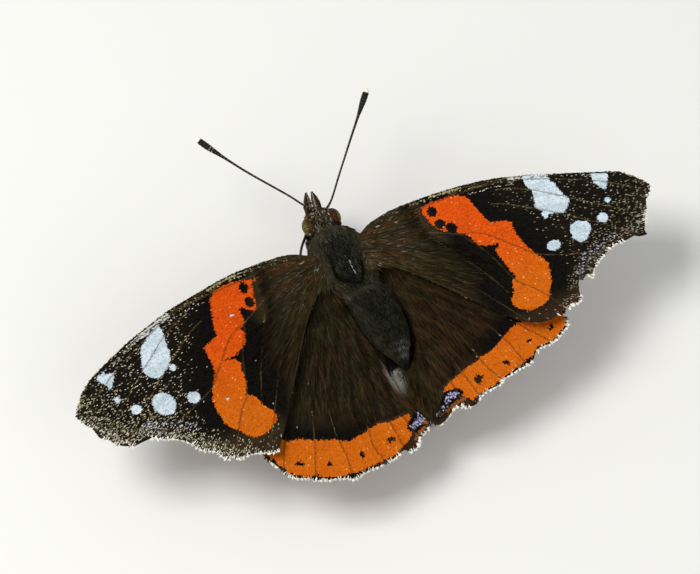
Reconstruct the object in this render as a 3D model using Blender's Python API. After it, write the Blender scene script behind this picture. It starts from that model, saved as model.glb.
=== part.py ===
"""Red admiral butterfly, life size, standing with its wings spread.

Lengths are written in millimetres and turned into metres by MM.
The head faces -Y, so the butterfly's left wings point along +X. The floor is z = 0.
"""

import math

import bpy
from mathutils import Vector
from mathutils.geometry import delaunay_2d_cdt

MM = 0.001

# Gap between neighbouring pieces, and the thickness of a wing away from its veins.
GAP = 0.3
WING_THICKNESS = 0.5

# A vein is a ridge on both faces of its wing.
VEIN_HEIGHT = 0.12
VEIN_HALF_WIDTH = 0.28
VEIN_STEP = 1.9
FILL_STEP = 1.9
FILL_CLEARANCE = 0.55
OUTLINE_STEP = 1.6

BODY_SIDES = 24
LIMB_SIDES = 8
EYE_RINGS = 12

# Distance between the rings of each piece.
HEAD_STEP = 0.32
THORAX_STEP = 0.5
ABDOMEN_STEP = 0.6
ANTENNA_STEP = 1.0
PALP_STEP = 0.35
PROBOSCIS_STEP = 0.6
LEG_STEP = 0.9

# Body stations along Y: (y, centre x, centre z, half width, half height).
HEAD_STATIONS = (
    (-8.80, -0.25, 8.05, 0.45, 0.55),
    (-8.55, -0.25, 8.10, 0.90, 1.00),
    (-7.90, -0.25, 8.20, 1.32, 1.42),
    (-7.20, -0.25, 8.25, 1.42, 1.50),
    (-6.60, -0.25, 8.28, 1.25, 1.40),
    (-6.30, -0.25, 8.30, 1.05, 1.25),
)
THORAX_STATIONS = (
    (-6.00, -0.25, 8.30, 1.50, 1.50),
    (-5.50, -0.25, 8.30, 2.10, 2.05),
    (-4.90, -0.25, 8.28, 2.45, 2.35),
    (-4.10, -0.25, 8.25, 2.68, 2.65),
    (-3.00, -0.28, 8.20, 2.78, 2.82),
    (-1.60, -0.35, 8.15, 2.68, 2.76),
    (-0.40, -0.45, 8.15, 2.38, 2.45),
    (0.50, -0.60, 8.20, 1.95, 2.00),
    (0.95, -0.70, 8.20, 1.70, 1.75),
)
ABDOMEN_STATIONS = (
    (1.25, -0.85, 8.20, 1.75, 1.75),
    (2.00, -1.10, 8.20, 2.10, 2.05),
    (3.20, -1.28, 8.20, 2.25, 2.15),
    (4.90, -1.32, 8.20, 2.18, 2.05),
    (6.60, -1.42, 8.25, 1.86, 1.80),
    (8.10, -1.42, 8.40, 1.45, 1.38),
    (9.30, -1.38, 8.50, 0.95, 0.90),
    (10.10, -1.34, 8.50, 0.55, 0.50),
    (10.50, -1.32, 8.50, 0.22, 0.20),
)

# Eyes sit in sockets on both sides of the head.
EYE_RADII = (0.90, 1.00, 1.15)
EYE_CENTRE = (1.15, -7.50, 8.30)
EYE_BACK = 0.70
HEAD_MIDLINE = -0.25

# Outlines in wing coordinates: outwards from the body, then backwards.
FOREWING_LEFT_COSTA = (
    (1.5, -0.4), (3.6, -0.55), (5.8, -0.5), (8.0, -0.35), (10.3, 0.05), (12.7, 0.55), (15.2, 1.1),
    (17.5, 1.85), (20.0, 2.75), (22.6, 3.9), (25.2, 5.2), (26.6, 6.5), (27.5, 7.7),
)
FOREWING_LEFT_MARGIN = (
    (27.75, 8.5), (27.4, 9.3), (26.9, 9.9), (26.6, 11.1), (25.8, 11.7), (25.5, 12.3), (24.8, 12.7),
    (23.9, 13.1), (23.1, 13.0), (21.8, 12.9), (20.9, 13.5), (20.1, 13.7), (19.0, 14.4),
    (18.3, 15.4), (17.7, 16.0), (16.9, 16.3), (16.5, 16.9), (16.1, 17.6), (15.5, 17.5),
    (14.9, 18.0), (13.7, 17.9), (12.7, 18.1), (11.7, 18.5), (11.0, 18.5),
)
FOREWING_LEFT_INNER = ((9.9, 17.0), (8.4, 15.0), (6.6, 12.3), (4.5, 9.2), (2.5, 6.5), (0.8, 4.3))
FOREWING_RIGHT_COSTA = (
    (1.3, -0.35), (3.6, -0.6), (5.7, -0.5), (7.8, -0.3), (9.9, 0.0), (11.9, 0.35), (13.9, 0.85),
    (15.8, 1.5), (17.6, 2.2), (19.0, 2.8), (21.7, 3.95), (24.0, 4.9), (25.8, 5.8), (27.2, 7.35),
)
FOREWING_RIGHT_MARGIN = (
    (27.8, 8.4), (27.3, 9.2), (26.8, 9.5), (26.4, 10.5), (25.9, 11.2), (25.2, 12.5), (25.2, 13.0),
    (24.5, 12.9), (24.0, 12.6), (23.0, 12.7), (21.9, 12.6), (20.9, 12.9), (20.0, 13.4),
    (19.2, 13.8), (18.8, 14.2), (18.4, 14.9), (18.2, 14.3), (17.3, 14.2), (16.9, 14.8),
    (16.6, 15.6), (16.4, 16.5), (15.6, 16.7), (14.8, 16.8), (13.9, 16.9), (12.8, 17.1), (11.8, 16.9),
)
FOREWING_RIGHT_INNER = ((10.5, 16.2), (8.9, 14.6), (7.2, 12.3), (4.9, 9.2), (2.6, 6.3), (0.8, 4.3))
HINDWING_LEFT_COSTA = ((2.5, -0.3), (6.0, 2.2), (9.5, 5.8), (12.0, 9.6), (13.1, 12.6))
HINDWING_LEFT_MARGIN = (
    (12.9, 14.7), (12.5, 15.7), (11.7, 17.1), (11.1, 18.2), (10.4, 18.6), (9.6, 18.9), (9.1, 19.3),
    (8.3, 19.6), (7.7, 19.8), (7.0, 19.9), (6.2, 20.2), (5.6, 20.5), (5.0, 20.6), (4.3, 20.3),
    (3.4, 20.2), (2.5, 20.2), (1.0, 20.0), (0.1, 19.7), (-0.5, 19.5), (-1.0, 19.9), (-1.9, 19.6),
    (-2.9, 18.6), (-3.8, 18.2),
)
HINDWING_LEFT_INNER = (
    (-3.9, 17.4), (-3.3, 15.8), (-2.85, 14.5), (-2.55, 12.7), (-2.3, 10.9), (-1.95, 8.9),
    (-1.65, 6.9), (-1.35, 4.8), (-1.1, 3.4), (-0.9, 2.4),
)
HINDWING_RIGHT_COSTA = ((3.0, -0.6), (7.0, 1.6), (10.8, 4.8), (13.6, 8.6), (15.0, 12.0))
HINDWING_RIGHT_MARGIN = (
    (14.9, 13.6), (14.6, 14.9), (13.9, 15.2), (13.1, 15.7), (12.3, 15.9), (11.2, 15.8),
    (10.7, 15.9), (10.1, 16.6), (9.2, 17.0), (8.5, 16.9), (7.3, 17.1), (6.6, 17.2), (5.9, 17.6),
    (4.5, 17.6), (3.6, 18.0), (3.1, 18.4), (2.4, 18.4), (1.9, 18.3), (1.4, 17.8), (0.5, 18.0),
    (-0.2, 18.2), (-0.8, 18.15),
)
HINDWING_RIGHT_INNER = (
    (-1.2, 17.6), (-1.8, 16.6), (-2.3, 15.7), (-2.9, 14.4), (-3.1, 12.7), (-3.2, 11.4),
    (-2.7, 10.7), (-1.5, 10.3), (-0.4, 9.6), (0.4, 8.6), (0.8, 7.0), (0.9, 5.0), (0.95, 3.6),
    (0.5, 2.5),
)

# Veins in wing coordinates, from the base outwards.
FOREWING_VEINS = (
    ((0.6, 0.7), (4.0, 0.5), (8.0, 0.7), (12.0, 1.1), (15.5, 1.9), (18.3, 3.1), (21.8, 4.9),
     (24.2, 6.4), (26.6, 8.2)),
    ((0.5, 1.6), (3.0, 2.3), (6.0, 3.2), (8.6, 3.8), (10.6, 4.1), (12.0, 4.5), (13.4, 5.3),
     (15.4, 7.0), (17.5, 9.4), (19.6, 11.8), (20.6, 12.8)),
    ((13.6, 2.1), (15.0, 2.8), (16.9, 4.0), (19.8, 6.0), (22.4, 8.2), (25.6, 10.8)),
    ((12.6, 3.3), (14.0, 4.0), (16.1, 5.5), (18.9, 7.7), (21.6, 10.1), (24.0, 12.3)),
    ((9.2, 4.7), (10.6, 5.6), (12.0, 7.0), (14.1, 9.8), (16.0, 12.5), (17.5, 14.4)),
    ((5.9, 3.9), (7.2, 5.2), (9.2, 8.1), (11.6, 11.5), (14.0, 14.7), (15.3, 16.2)),
    ((0.6, 2.9), (3.9, 5.9), (6.9, 9.2), (9.5, 12.9), (11.9, 16.3)),
)
HINDWING_VEINS = (
    ((0.9, 0.6), (4.5, 3.2), (8.0, 7.0), (10.6, 11.2), (11.9, 14.6)),
    ((1.9, 2.5), (5.0, 5.8), (8.0, 9.9), (9.9, 13.8), (11.0, 16.6)),
    ((2.9, 5.2), (5.0, 8.4), (6.9, 12.6), (8.4, 16.6), (8.9, 18.5)),
    ((2.4, 6.3), (3.9, 9.6), (5.0, 13.6), (5.9, 17.6), (6.2, 19.3)),
    ((1.6, 6.8), (2.4, 10.4), (2.9, 14.4), (3.4, 18.0), (3.5, 19.4)),
    ((0.4, 2.8), (0.3, 6.5), (0.2, 10.5), (0.4, 14.5), (0.6, 17.6), (0.7, 19.2)),
    ((-0.4, 3.0), (-0.9, 6.5), (-1.2, 10.5), (-1.4, 14.5), (-1.6, 17.4), (-1.8, 18.9)),
)
# The right hindwing is turned further forward about its root than the left one.
RIGHT_HINDWING_TURN = 13.0

# Height of a wing above its own plane: a slight arch, and the right hindwing's inner fold.
ARCH_HEIGHT = 0.35
ARCH_SPAN = 14.0
FOLD_DEPTH = 2.0
FOLD_WIDTH = 2.3

# Each wing: side (+1 left), root, dihedral in degrees, backward slope in degrees.
WING_ROOTS = {
    "forewing_left": (1, (3.00, -4.25, 10.0), 6.5, 2.0),
    "forewing_right": (-1, (-3.00, -4.35, 10.0), 6.5, -1.0),
    "hindwing_left": (1, (2.70, -1.50, 8.8), 5.5, 2.5),
    "hindwing_right": (-1, (-2.80, -1.50, 8.8), 5.5, 0.0),
}
# How far behind its root a wing's joint with the thorax starts and ends.
FOREWING_CHORD = (0.3, 3.3)
HINDWING_CHORD = (-0.9, 1.9)
# The joint is measured on the thorax this far below the root, with some room for its slope.
ROOT_DROP = 0.35
ROOT_SLACK = 0.08

# Tubes: a list of (x, y, z, radius).
ANTENNA_LEFT = (
    (0.05, -8.20, 9.95, 0.26), (1.10, -9.25, 10.25, 0.25), (2.14, -10.61, 10.70, 0.25),
    (4.83, -13.89, 11.60, 0.25), (6.60, -16.20, 12.35, 0.27), (7.35, -17.27, 12.60, 0.36),
    (7.95, -18.20, 12.80, 0.40), (8.30, -18.80, 12.96, 0.30), (8.42, -19.00, 13.00, 0.14),
)
ANTENNA_RIGHT = (
    (-0.75, -7.85, 10.0, 0.26), (-1.75, -8.50, 10.3, 0.25), (-3.44, -10.41, 11.0, 0.25),
    (-5.41, -12.59, 11.9, 0.25), (-7.50, -14.90, 12.7, 0.27), (-8.20, -15.67, 12.9, 0.36),
    (-8.85, -16.40, 13.12, 0.40), (-9.32, -16.88, 13.27, 0.30), (-9.45, -17.03, 13.32, 0.14),
)
PALP_LEFT = (
    (0.38, -9.15, 7.40, 0.30), (0.33, -9.60, 7.50, 0.42), (0.17, -10.20, 7.68, 0.38),
    (0.00, -10.80, 7.86, 0.27), (-0.16, -11.25, 8.00, 0.12),
)
PALP_RIGHT = (
    (-0.70, -9.12, 7.40, 0.30), (-0.78, -9.50, 7.50, 0.40), (-0.86, -10.10, 7.68, 0.36),
    (-0.90, -10.70, 7.86, 0.26), (-0.90, -11.12, 8.00, 0.12),
)
PROBOSCIS = (
    (0.10, -8.55, 6.60, 0.26), (0.60, -8.45, 6.40, 0.25), (1.05, -8.05, 6.35, 0.25),
    (1.40, -7.66, 6.00, 0.25), (1.68, -7.54, 5.20, 0.25), (1.92, -7.45, 4.00, 0.25),
    (2.05, -7.30, 2.80, 0.25), (2.00, -7.10, 1.70, 0.22), (1.80, -6.90, 0.90, 0.12),
)
# Legs on the left; the right ones mirror them about the thorax.
LEG_MIDLINE = -0.3
FORELEG = (
    (1.05, -5.35, 5.95, 0.30), (1.25, -6.00, 5.35, 0.32), (1.20, -6.90, 5.15, 0.29),
    (0.95, -7.70, 5.45, 0.26), (0.80, -8.10, 5.75, 0.15),
)
MIDLEG = (
    (1.00, -3.30, 4.80, 0.36), (2.40, -3.70, 4.95, 0.38), (4.40, -4.20, 5.90, 0.32),
    (4.85, -4.35, 5.85, 0.30), (5.90, -5.00, 4.00, 0.28), (6.90, -5.60, 2.00, 0.27),
    (7.25, -5.80, 1.45, 0.26), (8.10, -6.40, 0.60, 0.25), (8.70, -6.90, 0.24, 0.25),
    (9.80, -7.70, 0.24, 0.24), (10.10, -7.90, 0.20, 0.16),
)
HINDLEG = (
    (0.90, -0.60, 5.05, 0.36), (2.20, 0.30, 5.20, 0.38), (4.00, 2.00, 6.00, 0.32),
    (4.35, 2.35, 5.95, 0.30), (5.20, 3.90, 4.00, 0.28), (6.00, 5.30, 2.10, 0.27),
    (6.25, 5.70, 1.55, 0.26), (6.70, 6.90, 0.65, 0.25), (7.05, 7.90, 0.24, 0.25),
    (7.50, 9.10, 0.24, 0.24), (7.62, 9.40, 0.20, 0.16),
)


def clear_scene():
    for thing in list(bpy.data.objects):
        bpy.data.objects.remove(thing, do_unlink=True)


def linear(channel):
    return channel / 12.92 if channel <= 0.04045 else ((channel + 0.055) / 1.055) ** 2.4


def make_material(name, red, green, blue, roughness):
    """A plain coat of one colour, given as sRGB values from 0 to 255."""
    material = bpy.data.materials.new(name)
    material.use_nodes = True
    surface = material.node_tree.nodes["Principled BSDF"]
    colour = [linear(value / 255) for value in (red, green, blue)]
    surface.inputs["Base Color"].default_value = (*colour, 1.0)
    surface.inputs["Roughness"].default_value = roughness
    surface.inputs["Metallic"].default_value = 0.0
    return material


def make_object(name, points, faces, material, smooth_angle=50.0):
    """A mesh object from points in millimetres."""
    mesh = bpy.data.meshes.new(name)
    mesh.from_pydata([Vector(point) * MM for point in points], [], faces)
    mesh.validate()
    mesh.materials.append(material)
    mesh.shade_smooth()
    mesh.set_sharp_from_angle(angle=math.radians(smooth_angle))
    thing = bpy.data.objects.new(name, mesh)
    bpy.context.scene.collection.objects.link(thing)
    return thing


def smooth_through(points, step):
    """Points about one step apart on a smooth curve through the given points."""
    ends = [points[0], *points, points[-1]]
    curve = []
    for before, start, stop, after in zip(ends, ends[1:], ends[2:], ends[3:]):
        count = max(1, round(math.dist(start[:3], stop[:3]) / step))
        for index in range(count):
            t = index / count
            curve.append(tuple(
                0.5 * (2 * b + (c - a) * t + (2 * a - 5 * b + 4 * c - d) * t**2
                       + (3 * b - a - 3 * c + d) * t**3)
                for a, b, c, d in zip(before, start, stop, after)
            ))
    curve.append(points[-1])
    return curve


def skin_rings(rings):
    """Points and faces of a closed tube through equal rings, with a flat cap at each end."""
    sides = len(rings[0])
    points = [point for ring in rings for point in ring]
    faces = []
    for ring in range(len(rings) - 1):
        for side in range(sides):
            near = ring * sides + side
            beside = ring * sides + (side + 1) % sides
            faces.append((near, beside, beside + sides, near + sides))
    faces.append(tuple(reversed(range(sides))))
    faces.append(tuple(range(len(points) - sides, len(points))))
    return points, faces


def station_at(stations, y):
    """The body station at y, between the two nearest given ones."""
    for low, high in zip(stations, stations[1:]):
        if low[0] <= y <= high[0]:
            t = (y - low[0]) / (high[0] - low[0])
            return tuple(a + (b - a) * t for a, b in zip(low, high))
    return stations[0] if y < stations[0][0] else stations[-1]


def body_piece(name, stations, step, material):
    """A body segment: upright elliptical rings through its stations."""
    rings = []
    for y, x, z, half_width, half_height in smooth_through(stations, step):
        ring = []
        for side in range(BODY_SIDES):
            angle = math.tau * side / BODY_SIDES
            ring.append((x + half_width * math.cos(angle), y, z - half_height * math.sin(angle)))
        rings.append(ring)
    return make_object(name, *skin_rings(rings), material)


def limb(name, route, step, material, floor=None):
    """A tapered tube along a route. With a floor, the rings are pressed flat on it."""
    path = smooth_through(route, step)
    rings = []
    across = Vector((0, 0, 1))
    for index, station in enumerate(path):
        centre = Vector(station[:3])
        before = Vector(path[max(index - 1, 0)][:3])
        after = Vector(path[min(index + 1, len(path) - 1)][:3])
        along = (after - before).normalized()
        across = (across - along * across.dot(along)).normalized()
        sideways = along.cross(across)
        ring = []
        for side in range(LIMB_SIDES):
            angle = math.tau * (side + 0.5) / LIMB_SIDES
            spoke = across * math.cos(angle) + sideways * math.sin(angle)
            point = centre + spoke * station[3]
            if floor is not None:
                point.z = max(point.z, floor)
            ring.append(point)
        rings.append(ring)
    return make_object(name, *skin_rings(rings), material)


def ellipsoid(name, centre, radii, material):
    """A round solid with rings about the Y axis."""
    rings = []
    for index in range(1, EYE_RINGS):
        tilt = math.pi * index / EYE_RINGS
        ring = []
        for side in range(BODY_SIDES):
            angle = math.tau * side / BODY_SIDES
            ring.append((
                centre[0] + radii[0] * math.sin(tilt) * math.cos(angle),
                centre[1] - radii[1] * math.cos(tilt),
                centre[2] - radii[2] * math.sin(tilt) * math.sin(angle),
            ))
        rings.append(ring)
    return make_object(name, *skin_rings(rings), material)


def box(name, low, high, material):
    across, along, upright = zip(low, high)
    points = [(x, y, z) for x in across for y in along for z in upright]
    faces = [(0, 1, 3, 2), (4, 6, 7, 5), (0, 4, 5, 1), (2, 3, 7, 6), (0, 2, 6, 4), (1, 5, 7, 3)]
    return make_object(name, points, faces, material)


def cut(thing, cutter):
    """Takes the cutter out of the thing, and hides it."""
    cutter.hide_render = True
    cutter.display_type = "WIRE"
    change = thing.modifiers.new("cut by " + cutter.name, "BOOLEAN")
    change.operation = "DIFFERENCE"
    change.solver = "EXACT"
    change.object = cutter


def add_eye(name, side, head, materials):
    """An eye with a flat back, and its socket in the head one gap wider all round."""
    centre = (HEAD_MIDLINE + side * EYE_CENTRE[0], EYE_CENTRE[1], EYE_CENTRE[2])
    eye = ellipsoid(name, centre, EYE_RADII, materials["eye"])
    socket = ellipsoid("socket_" + name, centre, [r + GAP for r in EYE_RADII], materials["eye"])
    room = 4 * max(EYE_RADII)
    for thing, wall in ((eye, EYE_BACK), (socket, EYE_BACK - GAP)):
        low_x, high_x = sorted((HEAD_MIDLINE - side * room, HEAD_MIDLINE + side * wall))
        low = (low_x, centre[1] - room, centre[2] - room)
        high = (high_x, centre[1] + room, centre[2] + room)
        inner = box("inner_" + thing.name, low, high, materials["eye"])
        cut(thing, inner)
    cut(head, socket)


def fold_height(place, inner_margin):
    """How far the inner fold drops the wing at a place, by its distance from the inner margin."""
    nearest = min(
        distance_to_segment(place, start, stop) for start, stop in zip(inner_margin, inner_margin[1:])
    )
    t = min(nearest / FOLD_WIDTH, 1.0)
    return FOLD_DEPTH * (1 - t * t * (3 - 2 * t))


def distance_to_segment(place, start, stop):
    step_x, step_y = stop[0] - start[0], stop[1] - start[1]
    length_squared = step_x**2 + step_y**2
    t = ((place[0] - start[0]) * step_x + (place[1] - start[1]) * step_y) / length_squared
    t = min(max(t, 0.0), 1.0)
    return math.hypot(place[0] - start[0] - step_x * t, place[1] - start[1] - step_y * t)


def wing_height(place, folded_margin):
    """Height of the middle of a wing above its plane."""
    arch = ARCH_HEIGHT * (1 - ((place[0] - ARCH_SPAN) / ARCH_SPAN) ** 2)
    if folded_margin:
        return arch - fold_height(place, folded_margin)
    return arch


def wing_to_world(place, height, side, root, dihedral, slope):
    """Turns a place in wing coordinates into millimetres in the world."""
    dihedral, slope = math.radians(dihedral), math.radians(slope)
    outward = Vector((side * math.cos(dihedral), 0, math.sin(dihedral)))
    level = Vector((0, 1, 0))
    lifted = Vector((-side * math.sin(dihedral), 0, math.cos(dihedral)))
    backward = level * math.cos(slope) - lifted * math.sin(slope)
    upward = lifted * math.cos(slope) + level * math.sin(slope)
    return Vector(root) + outward * place[0] + backward * place[1] + upward * height


def root_edge(side, root, chord):
    """The wing's edge along the thorax, one gap away from it, from its rear to its front."""
    edge = []
    count = 4
    for index in range(count, -1, -1):
        backward = chord[0] + (chord[1] - chord[0]) * index / count
        y = root[1] + backward
        _, x, z, half_width, half_height = station_at(THORAX_STATIONS, y)
        level = max(-1.0, min(1.0, (root[2] - ROOT_DROP - z) / half_height))
        reach = half_width * math.sqrt(1 - level**2)
        edge.append((side * (x - root[0]) + reach + GAP + ROOT_SLACK, backward))
    return edge


def outline_of(costa, margin, inner, edge):
    """The closed outline of a wing, from the costa's base round to the root edge."""
    front = smooth_through([edge[-1], *costa, margin[0]], OUTLINE_STEP)
    rear = smooth_through([margin[-1], *inner, edge[0]], OUTLINE_STEP)
    return [*front, *margin[1:-1], *rear, *edge[1:-1]]


def turned(points, degrees):
    angle = math.radians(degrees)
    return [
        (x * math.cos(angle) + y * math.sin(angle), y * math.cos(angle) - x * math.sin(angle))
        for x, y in points
    ]


def inside(place, outline):
    """Whether a place is inside a closed outline."""
    within = False
    x, y = place
    for (x1, y1), (x2, y2) in zip(outline, outline[1:] + outline[:1]):
        if (y1 > y) != (y2 > y) and x < x1 + (y - y1) * (x2 - x1) / (y2 - y1):
            within = not within
    return within


def clearance(place, outline):
    return min(
        distance_to_segment(place, start, stop)
        for start, stop in zip(outline, outline[1:] + outline[:1])
    )


def wing_plan(outline, veins):
    """The wing's flat triangulation: (places, triangles, ridge heights)."""
    places = list(outline)
    edges = [(index, (index + 1) % len(outline)) for index in range(len(outline))]
    heights = [0.0] * len(outline)
    for vein in veins:
        route = [place for place in smooth_through(vein, VEIN_STEP) if inside(place, outline)]
        route = [place for place in route if clearance(place, outline) > VEIN_HALF_WIDTH * 1.5]
        lines = {-1: [], 0: [], 1: []}
        for index, (x, y) in enumerate(route):
            before = route[max(index - 1, 0)]
            after = route[min(index + 1, len(route) - 1)]
            length = math.dist(before, after)
            normal = ((before[1] - after[1]) / length, (after[0] - before[0]) / length)
            at_end = index in (0, len(route) - 1)
            for line in lines:
                if at_end and line:
                    continue
                offset = line * VEIN_HALF_WIDTH
                lines[line].append(len(places))
                places.append((x + normal[0] * offset, y + normal[1] * offset))
                heights.append(0.0 if line or at_end else VEIN_HEIGHT)
        for line, run in lines.items():
            ends = [lines[0][0], *run, lines[0][-1]] if line else run
            edges.extend(zip(ends, ends[1:]))
    row = 0
    low_x, high_x = min(x for x, _ in outline), max(x for x, _ in outline)
    low_y, high_y = min(y for _, y in outline), max(y for _, y in outline)
    fixed = list(places)
    y = low_y
    while y < high_y:
        x = low_x + (row % 2) * FILL_STEP / 2
        while x < high_x:
            near = min(math.dist((x, y), other) for other in fixed)
            free = min(near, clearance((x, y), outline))
            if inside((x, y), outline) and free > FILL_CLEARANCE:
                places.append((x, y))
                heights.append(0.0)
            x += FILL_STEP
        y += FILL_STEP * math.sqrt(3) / 2
        row += 1
    rim = list(range(len(outline)))
    only_inside = 1
    found = delaunay_2d_cdt([Vector(place) for place in places], edges, [rim], only_inside, 1e-6)
    new_places, triangles, origins = found[0], found[2], found[3]
    ridge = [max((heights[source] for source in sources), default=0.0) for sources in origins]
    return new_places, triangles, ridge


def boundary_of(triangles):
    """The directed edges that only one triangle has."""
    directed = {(a, b) for t in triangles for a, b in zip(t, [*t[1:], t[0]])}
    return [(a, b) for a, b in directed if (b, a) not in directed]


def wing(name, outline, veins, folded_margin, material):
    """A wing as a curved sheet whose two faces have the same triangles."""
    side, root, dihedral, slope = WING_ROOTS[name]
    places, triangles, ridge = wing_plan(outline, veins)
    count = len(places)
    top, bottom = [], []
    probe = 0.05
    for place, rise in zip(places, ridge):
        height = wing_height(place, folded_margin)
        slope_x = (wing_height((place[0] + probe, place[1]), folded_margin) - height) / probe
        slope_y = (wing_height((place[0], place[1] + probe), folded_margin) - height) / probe
        normal = Vector((-slope_x, -slope_y, 1)).normalized()
        reach = WING_THICKNESS / 2 + rise
        for face, sign in ((top, 1), (bottom, -1)):
            moved = normal * reach * sign
            spot = (place[0] + moved.x, place[1] + moved.y)
            face.append(wing_to_world(spot, height + moved.z, side, root, dihedral, slope))
    faces = [tuple(t) for t in triangles] + [tuple(count + i for i in reversed(t)) for t in triangles]
    faces += [(b, a, a + count, b + count) for a, b in boundary_of(triangles)]
    if side < 0:
        faces = [tuple(reversed(face)) for face in faces]
    points = [point - Vector(root) for point in top + bottom]
    thing = make_object(name, points, faces, material, smooth_angle=30.0)
    thing.location = Vector(root) * MM
    return thing


def mirrored(route):
    return [(2 * LEG_MIDLINE - x, y, z, radius) for x, y, z, radius in route]


def add_body(materials):
    head = body_piece("head", HEAD_STATIONS, HEAD_STEP, materials["body"])
    body_piece("thorax", THORAX_STATIONS, THORAX_STEP, materials["body"])
    body_piece("abdomen", ABDOMEN_STATIONS, ABDOMEN_STEP, materials["abdomen"])
    add_eye("eye_left", 1, head, materials)
    add_eye("eye_right", -1, head, materials)


def add_head_limbs(materials):
    limb("antenna_left", ANTENNA_LEFT, ANTENNA_STEP, materials["limb"])
    limb("antenna_right", ANTENNA_RIGHT, ANTENNA_STEP, materials["limb"])
    limb("palp_left", PALP_LEFT, PALP_STEP, materials["body"])
    limb("palp_right", PALP_RIGHT, PALP_STEP, materials["body"])
    limb("proboscis", PROBOSCIS, PROBOSCIS_STEP, materials["limb"])


def add_legs(materials):
    for name, route in (("foreleg", FORELEG), ("midleg", MIDLEG), ("hindleg", HINDLEG)):
        limb(name + "_left", route, LEG_STEP, materials["limb"], floor=0.0)
        limb(name + "_right", mirrored(route), LEG_STEP, materials["limb"], floor=0.0)


def add_wings(materials):
    plans = {
        "forewing_left": (FOREWING_LEFT_COSTA, FOREWING_LEFT_MARGIN, FOREWING_LEFT_INNER),
        "forewing_right": (FOREWING_RIGHT_COSTA, FOREWING_RIGHT_MARGIN, FOREWING_RIGHT_INNER),
        "hindwing_left": (HINDWING_LEFT_COSTA, HINDWING_LEFT_MARGIN, HINDWING_LEFT_INNER),
        "hindwing_right": (HINDWING_RIGHT_COSTA, HINDWING_RIGHT_MARGIN, HINDWING_RIGHT_INNER),
    }
    for name, (costa, margin, inner) in plans.items():
        side, root, _, _ = WING_ROOTS[name]
        is_forewing = name.startswith("fore")
        chord = FOREWING_CHORD if is_forewing else HINDWING_CHORD
        veins = FOREWING_VEINS if is_forewing else HINDWING_VEINS
        outline = outline_of(costa, margin, inner, root_edge(side, root, chord))
        if name == "hindwing_right":
            veins = [turned(vein, RIGHT_HINDWING_TURN) for vein in veins]
        folded_margin = inner if name == "hindwing_right" else None
        wing(name, outline, veins, folded_margin, materials["wing"])


def stand_at_origin():
    """Moves everything so that the origin is under the middle of the whole, on the floor."""
    bpy.context.view_layer.update()
    graph = bpy.context.evaluated_depsgraph_get()
    corners = []
    for thing in bpy.context.scene.objects:
        if not thing.hide_render:
            mesh = thing.evaluated_get(graph).to_mesh()
            corners += [thing.matrix_world @ vertex.co for vertex in mesh.vertices]
    low = [min(corner[axis] for corner in corners) for axis in range(3)]
    high = [max(corner[axis] for corner in corners) for axis in range(3)]
    shift = Vector((-(low[0] + high[0]) / 2, -(low[1] + high[1]) / 2, -low[2]))
    for thing in bpy.context.scene.objects:
        thing.location += shift


def main():
    clear_scene()
    materials = {
        "body": make_material("dark brown hair", 58, 50, 42, 0.85),
        "abdomen": make_material("dark grey scales", 52, 48, 44, 0.8),
        "wing": make_material("dark wing scales", 60, 44, 32, 0.75),
        "eye": make_material("brown eye", 104, 58, 30, 0.25),
        "limb": make_material("dark cuticle", 34, 28, 24, 0.45),
    }
    add_body(materials)
    add_head_limbs(materials)
    add_legs(materials)
    add_wings(materials)
    stand_at_origin()


main()
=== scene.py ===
"""Red admiral butterfly: scaled wings, hair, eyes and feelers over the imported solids.

The tables hold millimetres, which MM turns into metres. The head faces -Y, so the butterfly's
left wings point along +X, and the floor is z = 0. SHIFT moves the tables' places to the frame.
"""

import math

import bpy
import numpy as np
from mathutils import Matrix, Vector
from mathutils.geometry import delaunay_2d_cdt


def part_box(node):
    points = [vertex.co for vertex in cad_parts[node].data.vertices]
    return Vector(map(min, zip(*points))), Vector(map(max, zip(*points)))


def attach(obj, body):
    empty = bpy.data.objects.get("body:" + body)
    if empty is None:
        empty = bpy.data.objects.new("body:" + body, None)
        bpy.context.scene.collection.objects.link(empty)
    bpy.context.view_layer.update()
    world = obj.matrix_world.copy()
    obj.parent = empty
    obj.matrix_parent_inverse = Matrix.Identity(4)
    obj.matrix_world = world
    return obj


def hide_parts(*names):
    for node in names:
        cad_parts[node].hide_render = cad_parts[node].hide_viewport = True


bl_info = {
    "name": "Red admiral butterfly",
    "version": (1, 0, 0),
    "blender": (4, 5, 0),
    "location": "3D View > Sidebar > Butterfly",
    "description": "Dresses the butterfly's solids with scaled wings, hair, eyes and feelers",
    "category": "Object",
}

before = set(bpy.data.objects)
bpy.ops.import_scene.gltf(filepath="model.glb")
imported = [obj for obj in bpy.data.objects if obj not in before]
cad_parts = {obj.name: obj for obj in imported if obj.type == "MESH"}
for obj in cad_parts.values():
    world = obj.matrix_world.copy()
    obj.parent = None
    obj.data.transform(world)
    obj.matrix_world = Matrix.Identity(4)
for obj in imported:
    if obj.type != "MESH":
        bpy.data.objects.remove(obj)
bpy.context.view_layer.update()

MM = 0.001
BODY = "root"
PLANTING, TUBE = "plant tufts on roots", "tube along a route"
SCALE_MATERIALS = ("upperside wing scales", "underside wing scales")
# Random seeds of the numbers drawn for each step, and of the node tree that plants its tufts.
SEEDS = {
    "membranes": 11, "scales": 23, "fringes": 37, "wing hair": 41, "body hair": 53, "feelers": 67,
    "legs": 71,
}
PLANT_SEEDS = {
    "scales": 100, "fringes": 200, "wing hair": 300, "body hair": 400, "brows": 450, "beard": 460,
    "palps": 500, "legs": 600,
}
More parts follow.
